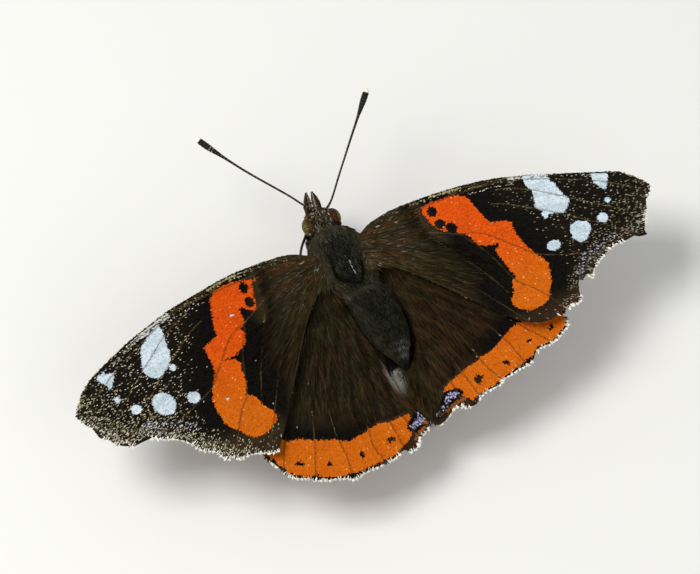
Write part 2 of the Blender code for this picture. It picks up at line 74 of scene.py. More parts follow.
# How many hairs are drawn. Tries are drawn all over a wing or eye, and only some are kept.
WING_HAIR_TRIES, BROW_TRIES, BROW_HAIRS = 42000, 9000, 2600
HEAD_HAIRS, THORAX_HAIRS, ABDOMEN_HAIRS, BEARD_HAIRS = 8500, 21000, 19000, 1500
PALP_HAIRS, LEG_HAIRS, FORELEG_HAIRS = 3200, 900, 700
FRINGE_LAYERS = 4
# Rows of scales run round the wing base: radii from and to, and angles from and to.
ROW_RADII, ROW_ANGLES = (0.6, 33.0), (-0.45, 2.35)
# The value of a marking's distance where there is no such marking.
FAR_OUTSIDE = -50.0
# Spacing of the points inside a wing membrane.
SHEET_STEP = 0.55
FRONT_OF_THORAX = -6.0
SHIFT = np.array([0.0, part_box("thorax")[0][1] / MM - FRONT_OF_THORAX, 0.0])

# Wings: side (+1 is the butterfly's left), root, dihedral and backward slope in degrees.
WING_ROOTS = {
    "forewing_left": (1, (3.00, -4.25, 10.0), 6.5, 2.0),
    "forewing_right": (-1, (-3.00, -4.35, 10.0), 6.5, -1.0),
    "hindwing_left": (1, (2.70, -1.50, 8.8), 5.5, 2.5),
    "hindwing_right": (-1, (-2.80, -1.50, 8.8), 5.5, 0.0),
}
# Each sheet arches up along the wing, and the right hindwing's inner edge folds down.
ARCH_HEIGHT, ARCH_SPAN = 0.35, 14.0
FOLD_DEPTH, FOLD_WIDTH = 2.0, 2.3
HINDWING_RIGHT_TURN = 13.0

# Outlines in wing coordinates: outwards from the body, then backwards.
COSTA = {
    "forewing_left": (
        (0.0, 0.2), (1.5, -0.4), (3.6, -0.55), (5.8, -0.5), (8.0, -0.35), (10.3, 0.05),
        (12.7, 0.55), (15.2, 1.1), (17.5, 1.85), (20.0, 2.75), (22.6, 3.9), (25.2, 5.2),
        (26.6, 6.5), (27.5, 7.7),
    ),
    "forewing_right": (
        (0.0, 0.2), (1.3, -0.35), (3.6, -0.6), (5.7, -0.5), (7.8, -0.3), (9.9, 0.0),
        (11.9, 0.35), (13.9, 0.85), (15.8, 1.5), (17.6, 2.2), (19.0, 2.8), (21.7, 3.95),
        (24.0, 4.9), (25.8, 5.8), (27.2, 7.35),
    ),
    "hindwing_left": (
        (0.6, -1.2), (2.5, -0.3), (6.0, 2.2), (9.5, 5.8), (12.0, 9.6), (13.1, 12.6),
    ),
    "hindwing_right": (
        (0.6, -1.2), (3.0, -0.6), (7.0, 1.6), (10.8, 4.8), (13.6, 8.6), (15.0, 12.0),
    ),
}
MARGIN = {
    "forewing_left": (
        (27.75, 8.5), (27.4, 9.3), (26.9, 9.9), (26.6, 11.1), (25.8, 11.7), (25.5, 12.3),
        (24.8, 12.7), (23.9, 13.1), (23.1, 13.0), (21.8, 12.9), (20.9, 13.5), (20.1, 13.7),
        (19.0, 14.4), (18.3, 15.4), (17.7, 16.0), (16.9, 16.3), (16.5, 16.9), (16.1, 17.6),
        (15.5, 17.5), (14.9, 18.0), (13.7, 17.9), (12.7, 18.1), (11.7, 18.5), (11.0, 18.5),
    ),
    "forewing_right": (
        (27.8, 8.4), (27.3, 9.2), (26.8, 9.5), (26.4, 10.5), (25.9, 11.2), (25.2, 12.5),
        (25.2, 13.0), (24.5, 12.9), (24.0, 12.6), (23.0, 12.7), (21.9, 12.6), (20.9, 12.9),
        (20.0, 13.4), (19.2, 13.8), (18.8, 14.2), (18.4, 14.9), (18.2, 14.3), (17.3, 14.2),
        (16.9, 14.8), (16.6, 15.6), (16.4, 16.5), (15.6, 16.7), (14.8, 16.8), (13.9, 16.9),
        (12.8, 17.1), (11.8, 16.9),
    ),
    "hindwing_left": (
        (12.9, 14.7), (12.5, 15.7), (11.7, 17.1), (11.1, 18.2), (10.4, 18.6), (9.6, 18.9),
        (9.1, 19.3), (8.3, 19.6), (7.7, 19.8), (7.0, 19.9), (6.2, 20.2), (5.6, 20.5), (5.0, 20.6),
        (4.3, 20.3), (3.4, 20.2), (2.5, 20.2), (1.0, 20.0), (0.1, 19.7), (-0.5, 19.5),
        (-1.0, 19.9), (-1.9, 19.6), (-2.9, 18.6), (-3.8, 18.2),
    ),
    "hindwing_right": (
        (14.9, 13.6), (14.6, 14.9), (13.9, 15.2), (13.1, 15.7), (12.3, 15.9), (11.2, 15.8),
        (10.7, 15.9), (10.1, 16.6), (9.2, 17.0), (8.5, 16.9), (7.3, 17.1), (6.6, 17.2),
        (5.9, 17.6), (4.5, 17.6), (3.6, 18.0), (3.1, 18.4), (2.4, 18.4), (1.9, 18.3), (1.4, 17.8),
        (0.5, 18.0), (-0.2, 18.2), (-0.8, 18.15),
    ),
}
INNER = {
    "forewing_left": (
        (9.9, 17.0), (8.4, 15.0), (6.6, 12.3), (4.5, 9.2), (2.5, 6.5), (0.4, 4.3), (-0.4, 3.0),
    ),
    "forewing_right": (
        (10.5, 16.2), (8.9, 14.6), (7.2, 12.3), (4.9, 9.2), (2.6, 6.3), (0.4, 4.3), (-0.4, 3.0),
    ),
    "hindwing_left": (
        (-3.9, 17.4), (-3.3, 15.8), (-2.85, 14.5), (-2.55, 12.7), (-2.3, 10.9), (-1.95, 8.9),
        (-1.65, 6.9), (-1.35, 4.8), (-1.1, 3.4), (-1.0, 1.8),
    ),
    "hindwing_right": (
        (-1.2, 17.6), (-1.8, 16.6), (-2.3, 15.7), (-2.9, 14.4), (-3.1, 12.7), (-3.2, 11.4),
        (-2.7, 10.7), (-1.5, 10.3), (-0.4, 9.6), (0.4, 8.6), (0.8, 7.0), (0.9, 5.0), (0.95, 3.6),
        (0.2, 2.0),
    ),
}
# Beyond the solids each wing runs on under the body's hair: (points kept from INNER, more points).
WING_BASES = {
    "forewing_left": (6, ((-0.7, 4.2), (-1.9, 3.2), (-1.9, 0.5))),
    "forewing_right": (6, ((-0.7, 4.2), (-1.9, 3.2), (-1.9, 0.5))),
    "hindwing_left": (5, (
        (-2.4, 9.4), (-2.95, 8.0), (-3.1, 6.0), (-3.0, 4.0), (-2.7, 2.2), (-2.2, 0.5), (-1.6, -1.2),
    )),
    "hindwing_right": (4, (
        (-3.5, 13.0), (-4.3, 11.5), (-4.3, 9.6), (-3.2, 8.3), (-2.0, 7.3), (-1.2, 6.0), (-0.8, 4.4),
        (-0.9, 2.4), (-1.6, 0.6), (-1.6, -1.2),
    )),
}
# Veins of the left wings. The right wings have the same ones, turned with the wing.
FOREWING_VEINS = (
    ((1.0, 0.15), (6.0, -0.05), (11.0, 0.5), (15.5, 1.55)),
    ((0.6, 0.7), (4.0, 0.5), (8.0, 0.7), (12.0, 1.1), (15.5, 1.9), (18.3, 3.1), (21.8, 4.9),
     (24.2, 6.4), (26.6, 8.2)),
    ((11.5, 0.9), (15.5, 1.6), (18.5, 2.6), (22.0, 4.2)),
    ((0.5, 1.6), (3.0, 2.3), (6.0, 3.4), (8.6, 4.9), (9.8, 5.35), (10.75, 5.95), (11.55, 6.8),
     (12.6, 8.1), (13.4, 8.95), (14.3, 10.1), (17.0, 11.5), (20.6, 12.8)),
    ((13.6, 2.1), (15.0, 2.6), (16.7, 3.6), (19.8, 6.0), (22.4, 8.2), (25.6, 10.8)),
    ((12.6, 3.3), (14.0, 4.0), (16.1, 5.5), (18.9, 7.7), (21.6, 10.1), (24.0, 12.3)),
    ((8.6, 4.9), (10.2, 8.0), (11.4, 11.8), (12.2, 12.75), (13.0, 13.85), (13.6, 14.8),
     (14.9, 17.3)),
    ((5.9, 3.9), (7.2, 6.2), (9.2, 10.1), (10.2, 12.6)),
    ((0.6, 2.9), (3.9, 5.9), (6.9, 9.8), (9.2, 13.6), (11.2, 17.2)),
)
HINDWING_VEINS = (
    ((0.9, 0.6), (4.5, 3.2), (8.0, 7.0), (10.6, 11.2), (11.9, 14.6), (12.5, 15.6)),
    ((1.9, 2.5), (5.0, 5.8), (8.0, 9.9), (9.95, 14.3), (10.6, 15.4), (11.5, 17.3)),
    ((2.9, 5.2), (5.0, 8.4), (6.2, 12.0), (7.35, 15.3), (8.3, 17.6), (8.8, 19.0)),
    ((2.4, 6.3), (3.9, 9.6), (4.8, 13.0), (5.2, 15.9), (5.15, 17.7), (5.4, 19.9)),
    ((1.6, 6.8), (2.0, 10.4), (2.0, 14.0), (2.0, 16.4), (2.3, 18.0), (1.8, 20.0)),
    ((0.4, 2.8), (0.3, 6.5), (0.0, 10.5), (-0.2, 14.5), (-0.4, 17.6), (-0.5, 19.4)),
    ((-0.4, 3.0), (-0.9, 6.5), (-1.2, 10.5), (-1.6, 14.5), (-2.0, 17.4), (-2.3, 18.7)),
)

# Markings in wing coordinates. A spot is (outwards, backwards, half width, half height).
BANDS = {
    "forewing_left": (
        (6.87, 0.7), (7.89, 0.5), (8.95, 0.5), (9.87, 0.66), (10.85, 1.45), (11.23, 2.8),
        (11.6, 4.2), (11.75, 5.26), (12.5, 5.55), (13.45, 6.0), (13.4, 7.15), (13.35, 8.0),
        (13.5, 8.8), (14.25, 10.0), (14.8, 11.3), (14.95, 12.35), (14.75, 13.2), (14.75, 13.9),
        (14.4, 14.5), (13.8, 15.05), (13.25, 15.8), (12.45, 16.4), (11.5, 16.35), (10.7, 16.0),
        (10.0, 15.6), (9.6, 15.0), (9.85, 14.4), (10.35, 13.75), (10.65, 12.95), (10.95, 12.3),
        (11.65, 11.9), (11.1, 11.1), (11.0, 10.1), (10.95, 9.3), (10.75, 8.6), (11.05, 8.05),
        (12.05, 7.9), (10.7, 7.7), (9.85, 7.2), (9.3, 6.75), (9.1, 6.0), (9.25, 5.4), (8.55, 4.8),
        (8.6, 3.9), (8.58, 3.4), (8.1, 3.2), (7.8, 3.6), (7.06, 4.1), (7.0, 3.77), (6.7, 3.07),
        (6.47, 2.0), (6.17, 0.83),
    ),
    "forewing_right": (
        (6.3, 0.6), (7.45, 0.5), (9.0, 0.7), (10.0, 0.95), (10.75, 1.45), (11.0, 2.3), (11.3, 3.55),
        (11.55, 4.4), (11.8, 5.05), (12.8, 5.4), (13.6, 5.8), (13.5, 6.8), (13.6, 7.7),
        (13.75, 8.5), (14.15, 9.6), (14.65, 10.55), (15.0, 11.4), (14.8, 12.5), (14.4, 13.6),
        (13.9, 14.2),
        (13.7, 14.85), (13.05, 15.25), (12.3, 15.3), (11.45, 15.25), (10.75, 14.9), (10.2, 14.25),
        (10.05, 13.6), (10.75, 12.65), (11.1, 11.65), (11.6, 11.5), (11.3, 10.5), (11.1, 9.5),
        (11.05, 8.5), (11.0, 7.9), (11.8, 7.55), (11.05, 7.3), (10.3, 7.15), (9.7, 6.7), (9.5, 6.0),
        (9.2, 5.3), (8.65, 4.75), (8.35, 4.4), (7.6, 4.0), (7.1, 3.6), (6.65, 3.0), (6.4, 2.3),
        (6.2, 1.3),
    ),
    "hindwing_left": (
        (11.6, 13.9), (10.4, 14.15), (9.67, 14.65), (8.65, 14.75), (7.8, 15.2), (6.7, 15.65),
        (5.4, 16.05), (5.0, 16.4), (4.1, 16.65), (3.2, 16.45), (2.25, 16.3), (0.8, 15.95),
        (-0.4, 16.2), (-1.5, 16.1), (-2.5, 16.0), (-2.2, 17.6), (-1.6, 18.4), (-0.7, 19.0),
        (0.5, 19.45), (1.8, 19.75), (3.2, 19.8), (4.55, 19.95), (6.1, 19.8), (7.5, 19.4),
        (8.9, 18.95), (10.2, 18.3), (11.0, 17.7), (11.65, 16.9), (12.3, 15.8), (12.7, 15.0),
        (12.4, 14.5),
    ),
    "hindwing_right": (
        (14.6, 13.3), (13.0, 13.3), (11.1, 12.55), (10.5, 12.45), (9.4, 12.6), (8.45, 13.1),
        (6.9, 13.85), (5.85, 14.0), (4.9, 14.25), (3.7, 14.5), (2.4, 14.9), (1.15, 15.3),
        (0.75, 15.7), (1.9, 16.5), (2.35, 17.15), (2.95, 17.7), (3.85, 17.55), (5.25, 17.35),
        (6.9, 16.9), (8.7, 16.5), (9.9, 16.15), (11.75, 15.75), (13.2, 15.4), (14.4, 14.85),
    ),
}
BAND_SPOTS = {
    "forewing_left": ((7.17, 1.4, 0.46, 0.58), (7.27, 2.98, 0.48, 0.62)),
    "forewing_right": ((7.07, 1.43, 0.5, 0.56), (7.23, 2.95, 0.55, 0.58), (8.09, 3.9, 0.5, 0.7)),
    "hindwing_left": (
        (9.75, 17.1, 0.42, 0.2), (9.45, 17.3, 0.2, 0.16), (7.0, 18.15, 0.26, 0.24),
        (3.62, 18.45, 0.24, 0.32), (0.28, 17.9, 0.46, 0.24), (0.5, 18.05, 0.2, 0.24),
    ),
    "hindwing_right": (
        (13.0, 14.2, 0.22, 0.34), (12.85, 14.35, 0.24, 0.16), (10.5, 14.57, 0.3, 0.14),
        (7.5, 15.6, 0.3, 0.22), (7.6, 15.8, 0.12, 0.3), (4.2, 16.1, 0.34, 0.5),
        (4.35, 15.95, 0.5, 0.25),
    ),
}
WHITE_SHAPES = {
    "forewing_left": (
        ((16.75, 2.1), (16.5, 2.8), (16.7, 4.0), (16.75, 5.1), (16.9, 5.85), (17.45, 6.65),
         (18.45, 7.3), (19.1, 7.38), (19.75, 6.7), (20.0, 6.25), (19.4, 4.3), (19.0, 3.65)),
        ((20.5, 9.65), (20.0, 8.95), (19.2, 8.85), (18.55, 9.3), (18.25, 10.05), (18.4, 10.7),
         (18.9, 11.3), (19.7, 11.2), (20.45, 10.5)),
        ((24.2, 5.05), (23.8, 5.0), (23.4, 4.76), (23.5, 5.2), (23.05, 5.25), (22.7, 5.35),
         (23.0, 6.1), (23.3, 6.5), (23.72, 6.9), (23.83, 6.3), (24.3, 5.75), (24.4, 5.3)),
    ),
    "forewing_right": (
        ((16.7, 1.85), (17.8, 2.3), (19.0, 2.85), (19.0, 3.75), (19.3, 4.0), (19.3, 4.55),
         (19.5, 5.35), (19.8, 6.25), (19.5, 6.8), (18.7, 7.35), (18.1, 7.1), (17.35, 6.8),
         (16.9, 7.25), (16.65, 6.65), (16.9, 6.3), (16.45, 5.8), (16.6, 4.9), (16.9, 3.95),
         (16.55, 3.0)),
        ((18.7, 8.8), (19.45, 8.7), (20.35, 9.15), (20.55, 9.85), (20.05, 10.45), (19.35, 10.95),
         (18.8, 10.9), (18.4, 10.25), (18.4, 9.5)),
        ((22.9, 4.6), (23.5, 4.9), (24.5, 5.4), (24.0, 6.2), (23.7, 6.8), (23.3, 6.7), (23.0, 6.1),
         (22.75, 5.7)),
    ),
}
WHITE_SPOTS = {
    "forewing_left": (
        (17.1, 6.85, 0.36, 0.34), (16.45, 10.45, 0.62, 0.62), (22.1, 9.65, 0.52, 0.5),
        (23.42, 8.08, 0.29, 0.34), (13.42, 11.75, 0.15, 0.15), (9.5, 3.72, 0.22, 0.1),
    ),
    "forewing_right": (
        (16.35, 10.05, 0.7, 0.55), (21.95, 9.5, 0.52, 0.52), (23.2, 7.98, 0.3, 0.33),
    ),
}
LILAC_SHAPES = {
    "hindwing_left": (
        (-1.95, 17.4), (-2.15, 17.7), (-2.85, 17.5), (-3.65, 17.15), (-3.85, 16.85), (-3.6, 16.55),
        (-2.85, 16.8), (-2.3, 17.05),
    ),
    "hindwing_right": (
        (0.4, 16.9), (0.6, 16.4), (1.0, 16.1), (1.5, 16.15), (2.0, 16.3), (2.05, 16.55),
        (1.65, 16.7), (1.0, 16.95), (0.5, 17.1),
    ),
}
LILAC_BITS = {
    "hindwing_left": ((-3.3, 16.3, 0.12, 0.16), (-4.0, 16.2, 0.1, 0.14)),
    "hindwing_right": (
        (0.12, 17.04, 0.16, 0.2), (-0.3, 17.1, 0.16, 0.16), (-0.6, 17.1, 0.12, 0.16),
    ),
}
# Lines of golden-orange scales between the lilac spots and the fringe.
CORNER_LINES = {
    "hindwing_left": (
        ((-3.2, 17.4), (-3.75, 17.35), (-4.05, 17.7)), ((-3.3, 17.9), (-2.6, 18.2), (-2.0, 18.7)),
    ),
    "hindwing_right": (
        ((-0.3, 17.45), (0.2, 17.55), (0.95, 17.3), (1.6, 17.25), (2.2, 17.3)),
        ((0.0, 17.75), (0.7, 17.75), (1.4, 17.5)),
    ),
}

# Streaks of pale scales: (line, half width, share of pale scales, tone from golden 0 to white 1).
FOREWING_STREAKS = (
    (((2.0, -0.2), (5.8, -0.2), (8.6, 0.0), (10.6, 0.35)), 0.3, 0.5, 0.35),
    (((7.6, -0.1), (9.2, 0.15), (10.6, 0.5)), 0.2, 1.5, 0.0),
    (((11.2, 1.35), (13.5, 1.75), (15.6, 2.3)), 0.1, 0.9, 0.75),
    (((11.0, 0.75), (13.5, 1.2), (15.8, 1.75)), 0.1, 0.5, 0.35),
    (((15.6, 1.6), (17.2, 2.15), (18.6, 2.7)), 0.34, 2.6, 0.95),
    (((18.4, 2.6), (20.4, 3.3)), 0.26, 1.0, 0.85),
    (((20.2, 3.5), (22.6, 4.7)), 0.16, 0.7, 0.8),
    (((11.0, 0.2), (12.0, 0.38), (15.2, 1.05), (20.0, 2.7), (25.2, 5.15), (27.3, 7.5)),
     0.06, 1.6, 0.05),
)
# Streaks of rust-coloured scales and hair near the wing base: (line, half width, share).
FOREWING_RUST = (
    (((-0.6, 0.9), (1.5, 0.75), (3.5, 0.7), (6.2, 0.95)), 0.22, 0.42),
    (((0.6, 1.9), (3.5, 2.7), (5.0, 3.1)), 0.3, 0.2),
    (((-0.8, 2.2), (0.6, 3.0), (2.4, 4.6)), 0.3, 0.2),
)
# The dark side of each forewing band: how far out its inner and outer edges lie at each b.
BAND_EDGE_B = (0.0, 3.5, 4.8, 6.0, 8.0, 10.0, 12.0, 15.0, 17.0)
BAND_INNER_A = (6.4, 7.5, 8.8, 9.2, 10.9, 11.0, 11.0, 9.7, 9.5)
BAND_OUTER_A = (10.4, 11.3, 11.8, 13.4, 13.6, 14.3, 15.0, 13.9, 12.0)
# How wide the black is between the band and the brown base at each b.
BLACK_B = (0.0, 3.5, 5.0, 7.0, 9.0, 12.0, 15.0)
BLACK_WIDTH = (-0.6, -0.5, 0.7, 2.0, 2.6, 3.0, 0.8)
# A thin dusting of bluish scales inside the rear of each forewing's outer margin.
BLUE_LINE = ((21.9, 11.5), (20.0, 12.0), (18.6, 12.6), (17.4, 13.6))
# Where the fringe has worn off: (outwards, backwards, radius).
FRINGE_GAPS = {
    "forewing_left": ((27.8, 8.4, 0.4), (26.8, 10.7, 0.7), (24.8, 12.8, 0.5), (23.0, 13.0, 0.9)),
    "forewing_right": (
        (26.85, 9.9, 0.6), (25.3, 12.6, 0.95), (24.0, 12.75, 1.1), (17.6, 14.3, 0.8),
        (16.8, 15.3, 0.8), (14.2, 16.9, 0.5), (12.4, 17.1, 1.3),
    ),
    "hindwing_left": ((-0.5, 19.6, 0.35),),
    "hindwing_right": ((10.4, 16.3, 0.5), (3.0, 18.4, 0.4)),
}
# How far each hindwing's band is shifted along the change from red to yellower orange.
CHORD_SHIFTS = {"hindwing_left": 2.0, "hindwing_right": -1.0}
# The silky white patch between the hindwings: pale hair and scales of its own, brightened by a
# painted sheen.
SILKY_PATCHES = {
    "hindwing_left": ((-2.75, 11.2, 0.6, 1.4),), "hindwing_right": ((-3.1, 11.2, 1.05, 2.0),),
}
# Single pale tufts at the forewing bases.
PALE_TUFTS = {
    "forewing_left": ((-0.19, 4.05), (0.51, 0.84), (-0.55, 1.9)),
    "forewing_right": ((0.07, 3.95), (3.5, 0.9), (1.65, 0.49)),
}

# Painted shade along creases in the hair of the hindwings: (line, half width, share).
HINDWING_CREASE_SHADE = {
    "hindwing_left": (
        (((-1.02, 1.9), (-0.88, 4.46), (-0.83, 7.18), (-1.0, 10.11), (-1.64, 12.91)), 0.2, 0.5),
        (((0.57, 7.25), (0.11, 9.57), (-0.33, 11.59), (-0.83, 13.19)), 0.15, 0.5),
    ),
    "hindwing_right": (
        (((1.16, 6.83), (0.51, 8.84), (-0.42, 11.3), (-1.13, 13.48)), 0.15, 0.6),
        (((1.23, 8.2), (0.7, 10.33), (0.16, 12.46)), 0.15, 0.6),
    ),
}

# Body stations along Y: (y, centre x, centre z, half width, half height).
BODY_STATIONS = (
    (-8.80, -0.25, 8.05, 0.45, 0.55), (-8.55, -0.25, 8.10, 0.90, 1.00),
    (-7.90, -0.25, 8.20, 1.32, 1.42), (-7.20, -0.25, 8.25, 1.42, 1.50),
    (-6.60, -0.25, 8.28, 1.35, 1.42), (-6.15, -0.25, 8.30, 1.40, 1.42),
    (-5.60, -0.25, 8.30, 2.05, 2.00), (-4.90, -0.25, 8.28, 2.45, 2.35),
    (-4.10, -0.25, 8.25, 2.68, 2.65), (-3.00, -0.28, 8.20, 2.78, 2.82),
    (-1.60, -0.35, 8.15, 2.68, 2.76), (-0.40, -0.45, 8.15, 2.38, 2.45),
    (0.50, -0.60, 8.20, 1.98, 2.02), (1.05, -0.76, 8.20, 1.86, 1.84),
    (2.00, -1.10, 8.20, 2.10, 2.05), (3.20, -1.28, 8.20, 2.25, 2.15),
    (4.90, -1.32, 8.20, 2.18, 2.05), (6.60, -1.42, 8.25, 1.86, 1.80),
    (8.10, -1.42, 8.40, 1.45, 1.38), (9.30, -1.38, 8.50, 0.95, 0.90),
    (10.10, -1.34, 8.50, 0.55, 0.50), (10.50, -1.32, 8.50, 0.22, 0.20),
)
BODY_START, HEAD_END, THORAX_END, BODY_END = -8.80, -6.15, 1.05, 10.5
BODY_SIDES = 64
ABDOMEN_RING = 1.28
THORAX_GROOVES = ((-0.9, 0.12), (-4.9, 0.08))
# The groove behind the thorax shield, seen from above: (x, y). Painted shade darkens the hair along
# it.
SHIELD_GROOVE = (
    (0.9, -3.0), (1.15, -1.6), (1.15, -0.9), (0.7, -0.3), (0.0, 0.25), (-0.6, 0.7), (-1.1, 0.3),
    (-1.5, -0.6), (-1.75, -1.6),
)
# The painted glint along the shield's keel, seen from above: (x, y).
SHIELD_GLINT = ((-0.53, -1.7), (-0.53, -0.9), (-0.57, -0.4))

EYE_CENTRE = (1.15, -7.50, 8.30)
EYE_RADII = (0.90, 1.00, 1.15)
EYE_BACK = 0.70
EYE_SIDES, EYE_BANDS = 56, 36
# Where hair roots lie in the eye, as a share of its radii.
EYE_ROOTS = 0.97
HEAD_MIDLINE = -0.25

# Routes of the feelers and legs: (x, y, z, radius).
ANTENNAE = {
    "antenna_left": (
        (0.05, -8.20, 9.70, 0.17), (1.10, -9.25, 10.25, 0.115), (2.14, -10.61, 10.70, 0.11),
        (4.83, -13.89, 11.60, 0.12), (6.40, -15.95, 12.25, 0.15), (7.05, -16.85, 12.50, 0.24),
        (7.60, -17.65, 12.68, 0.34), (8.10, -18.45, 12.86, 0.34), (8.35, -18.88, 12.97, 0.22),
        (8.42, -19.00, 13.00, 0.06),
    ),
    "antenna_right": (
        (-0.75, -7.85, 9.75, 0.17), (-1.75, -8.50, 10.3, 0.115), (-3.44, -10.41, 11.0, 0.11),
        (-5.41, -12.59, 11.9, 0.12), (-7.25, -14.62, 12.6, 0.15), (-7.95, -15.40, 12.8, 0.24),
        (-8.55, -16.06, 13.02, 0.34), (-9.10, -16.66, 13.20, 0.34), (-9.37, -16.95, 13.29, 0.22),
        (-9.45, -17.03, 13.32, 0.06),
    ),
}
PALPS = {
    "palp_left": (
        (0.28, -8.75, 7.40, 0.34), (0.22, -9.30, 7.45, 0.36), (0.18, -9.75, 7.55, 0.34),
        (0.04, -10.25, 7.70, 0.27), (-0.10, -10.80, 7.86, 0.17), (-0.22, -11.20, 7.98, 0.05),
    ),
    "palp_right": (
        (-0.60, -8.75, 7.40, 0.34), (-0.68, -9.25, 7.45, 0.36), (-0.74, -9.70, 7.56, 0.33),
        (-0.78, -10.25, 7.72, 0.25), (-0.80, -10.75, 7.88, 0.16), (-0.80, -11.08, 7.99, 0.05),
    ),
}
PROBOSCIS = (
    (0.05, -8.50, 6.75, 0.16), (0.60, -8.45, 6.42, 0.15), (1.05, -8.05, 6.35, 0.15),
    (1.40, -7.66, 6.00, 0.145), (1.68, -7.54, 5.20, 0.14), (1.92, -7.45, 4.00, 0.135),
    (2.05, -7.30, 2.80, 0.13), (2.00, -7.10, 1.70, 0.12), (1.80, -6.90, 0.85, 0.07),
)
LEG_MIDLINE = -0.3
LEGS = {
    "foreleg": (
        (1.05, -5.35, 6.25, 0.24), (1.25, -6.00, 5.35, 0.24), (1.20, -6.90, 5.15, 0.20),
        (0.95, -7.70, 5.45, 0.15), (0.80, -8.10, 5.75, 0.07),
    ),
    "midleg": (
        (0.90, -3.20, 5.30, 0.34), (2.40, -3.70, 4.95, 0.32), (4.35, -4.18, 5.85, 0.20),
        (4.75, -4.32, 5.80, 0.17), (5.90, -5.00, 4.00, 0.17), (6.90, -5.60, 2.00, 0.17),
        (7.25, -5.80, 1.35, 0.15), (8.00, -6.34, 0.44, 0.12), (8.60, -6.80, 0.15, 0.115),
        (9.75, -7.66, 0.13, 0.11), (10.10, -7.90, 0.10, 0.05),
    ),
    "hindleg": (
        (0.85, -0.70, 5.50, 0.34), (2.20, 0.30, 5.20, 0.32), (3.95, 1.95, 5.95, 0.20),
        (4.28, 2.32, 5.90, 0.17), (5.20, 3.90, 4.00, 0.17), (6.00, 5.30, 2.10, 0.17),
        (6.25, 5.70, 1.45, 0.15), (6.68, 6.85, 0.47, 0.12), (7.02, 7.80, 0.15, 0.115),
        (7.48, 9.05, 0.13, 0.11), (7.62, 9.40, 0.10, 0.05),
    ),
}

# The viewpoint: behind and above, turned and rolled as the butterfly sits.
# Angles are degrees and the distance is millimetres.
CAMERA_TURN, CAMERA_ROLL, CAMERA_HEIGHT = 27.0, 3.0, 65.0
CAMERA_DISTANCE = 380.0
CAMERA_AIM = (0.0, 0.0, 8.0)
PIXELS_PER_MM = 10.1
PHOTO_WIDTH = 700
SENSOR = 36.0
FLOOR_REACH = 900.0
SKY_COLOUR, SKY_STRENGTH = "#EDEFF2", 0.47


def linear(hex_colour):
    """Linear red, green, blue and alpha of an sRGB hex colour."""
    values = [int(hex_colour[i:i + 2], 16) / 255 for i in (1, 3, 5)]
    return (*[v / 12.92 if v <= 0.04045 else ((v + 0.055) / 1.055) ** 2.4 for v in values], 1.0)


def smooth_line(points, step):
    """Points about one step apart on a smooth curve through the given points."""
    points = np.asarray(points, float)
    ends = np.vstack([points[:1], points, points[-1:]])
    curve = []
    for a, b, c, d in zip(ends, ends[1:], ends[2:], ends[3:]):
        count = max(1, round(float(np.linalg.norm((c - b)[:3])) / step))
        for t in np.arange(count) / count:
            curve.append(0.5 * (2 * b + (c - a) * t + (2 * a - 5 * b + 4 * c - d) * t**2
                                + (3 * b - a - 3 * c + d) * t**3))
    return np.array([*curve, points[-1]])


def rise(value, low, high):
    """0 below low, 1 above high, and a smooth step between them."""
    t = np.clip((value - low) / (high - low), 0.0, 1.0)
    return t * t * (3 - 2 * t)


def fall(value, low, high):
    """1 below low, 0 above high, and a smooth step between them."""
    return 1 - rise(value, low, high)


def unit(vectors):
    """The same directions, one long."""
    return vectors / np.linalg.norm(vectors, axis=1)[:, None]


def flat(*columns):
    """Points of a flat unwrap: columns of numbers with a zero beside them."""
    return np.column_stack([*columns, np.zeros(len(columns[0]))])


def sizes(width, length, height):
    """Tuft sizes from numbers or columns of numbers."""
    return np.column_stack(np.broadcast_arrays(width, length, height))


def distance_to_line(points, line):
    """Distance from each point to an open line."""
    best = np.full(len(points), np.inf)
    for start, stop in zip(line, line[1:]):
        step = np.subtract(stop, start)
        t = np.clip((points - start) @ step / (step @ step), 0, 1)
        best = np.minimum(best, np.linalg.norm(points - start - t[:, None] * step, axis=1))
    return best


def signed_distance(points, outline):
    """Distance to a closed outline, positive inside it."""
    closed = np.vstack([outline, outline[:1]])
    inside = np.zeros(len(points), bool)
    for (x1, y1), (x2, y2) in zip(closed, closed[1:]):
        if y1 != y2:
            reach = x1 + (points[:, 1] - y1) * (x2 - x1) / (y2 - y1)
            inside ^= ((y1 > points[:, 1]) != (y2 > points[:, 1])) & (points[:, 0] < reach)
    return np.where(inside, 1.0, -1.0) * distance_to_line(points, closed)


def spot_distance(points, spots):
    """About the distance to the edge of the nearest oval spot, positive inside it."""
    best = np.full(len(points), FAR_OUTSIDE)
    for a, b, half_a, half_b in spots:
        reach = np.hypot((points[:, 0] - a) / half_a, (points[:, 1] - b) / half_b)
        best = np.maximum(best, (1 - reach) * min(half_a, half_b))
    return best


def turned(line, degrees):
    """Places turned about the wing's root."""
    angle = math.radians(degrees)
    cos, sin = math.cos(angle), math.sin(angle)
    return np.asarray(line, float) @ np.array([[cos, -sin], [sin, cos]])


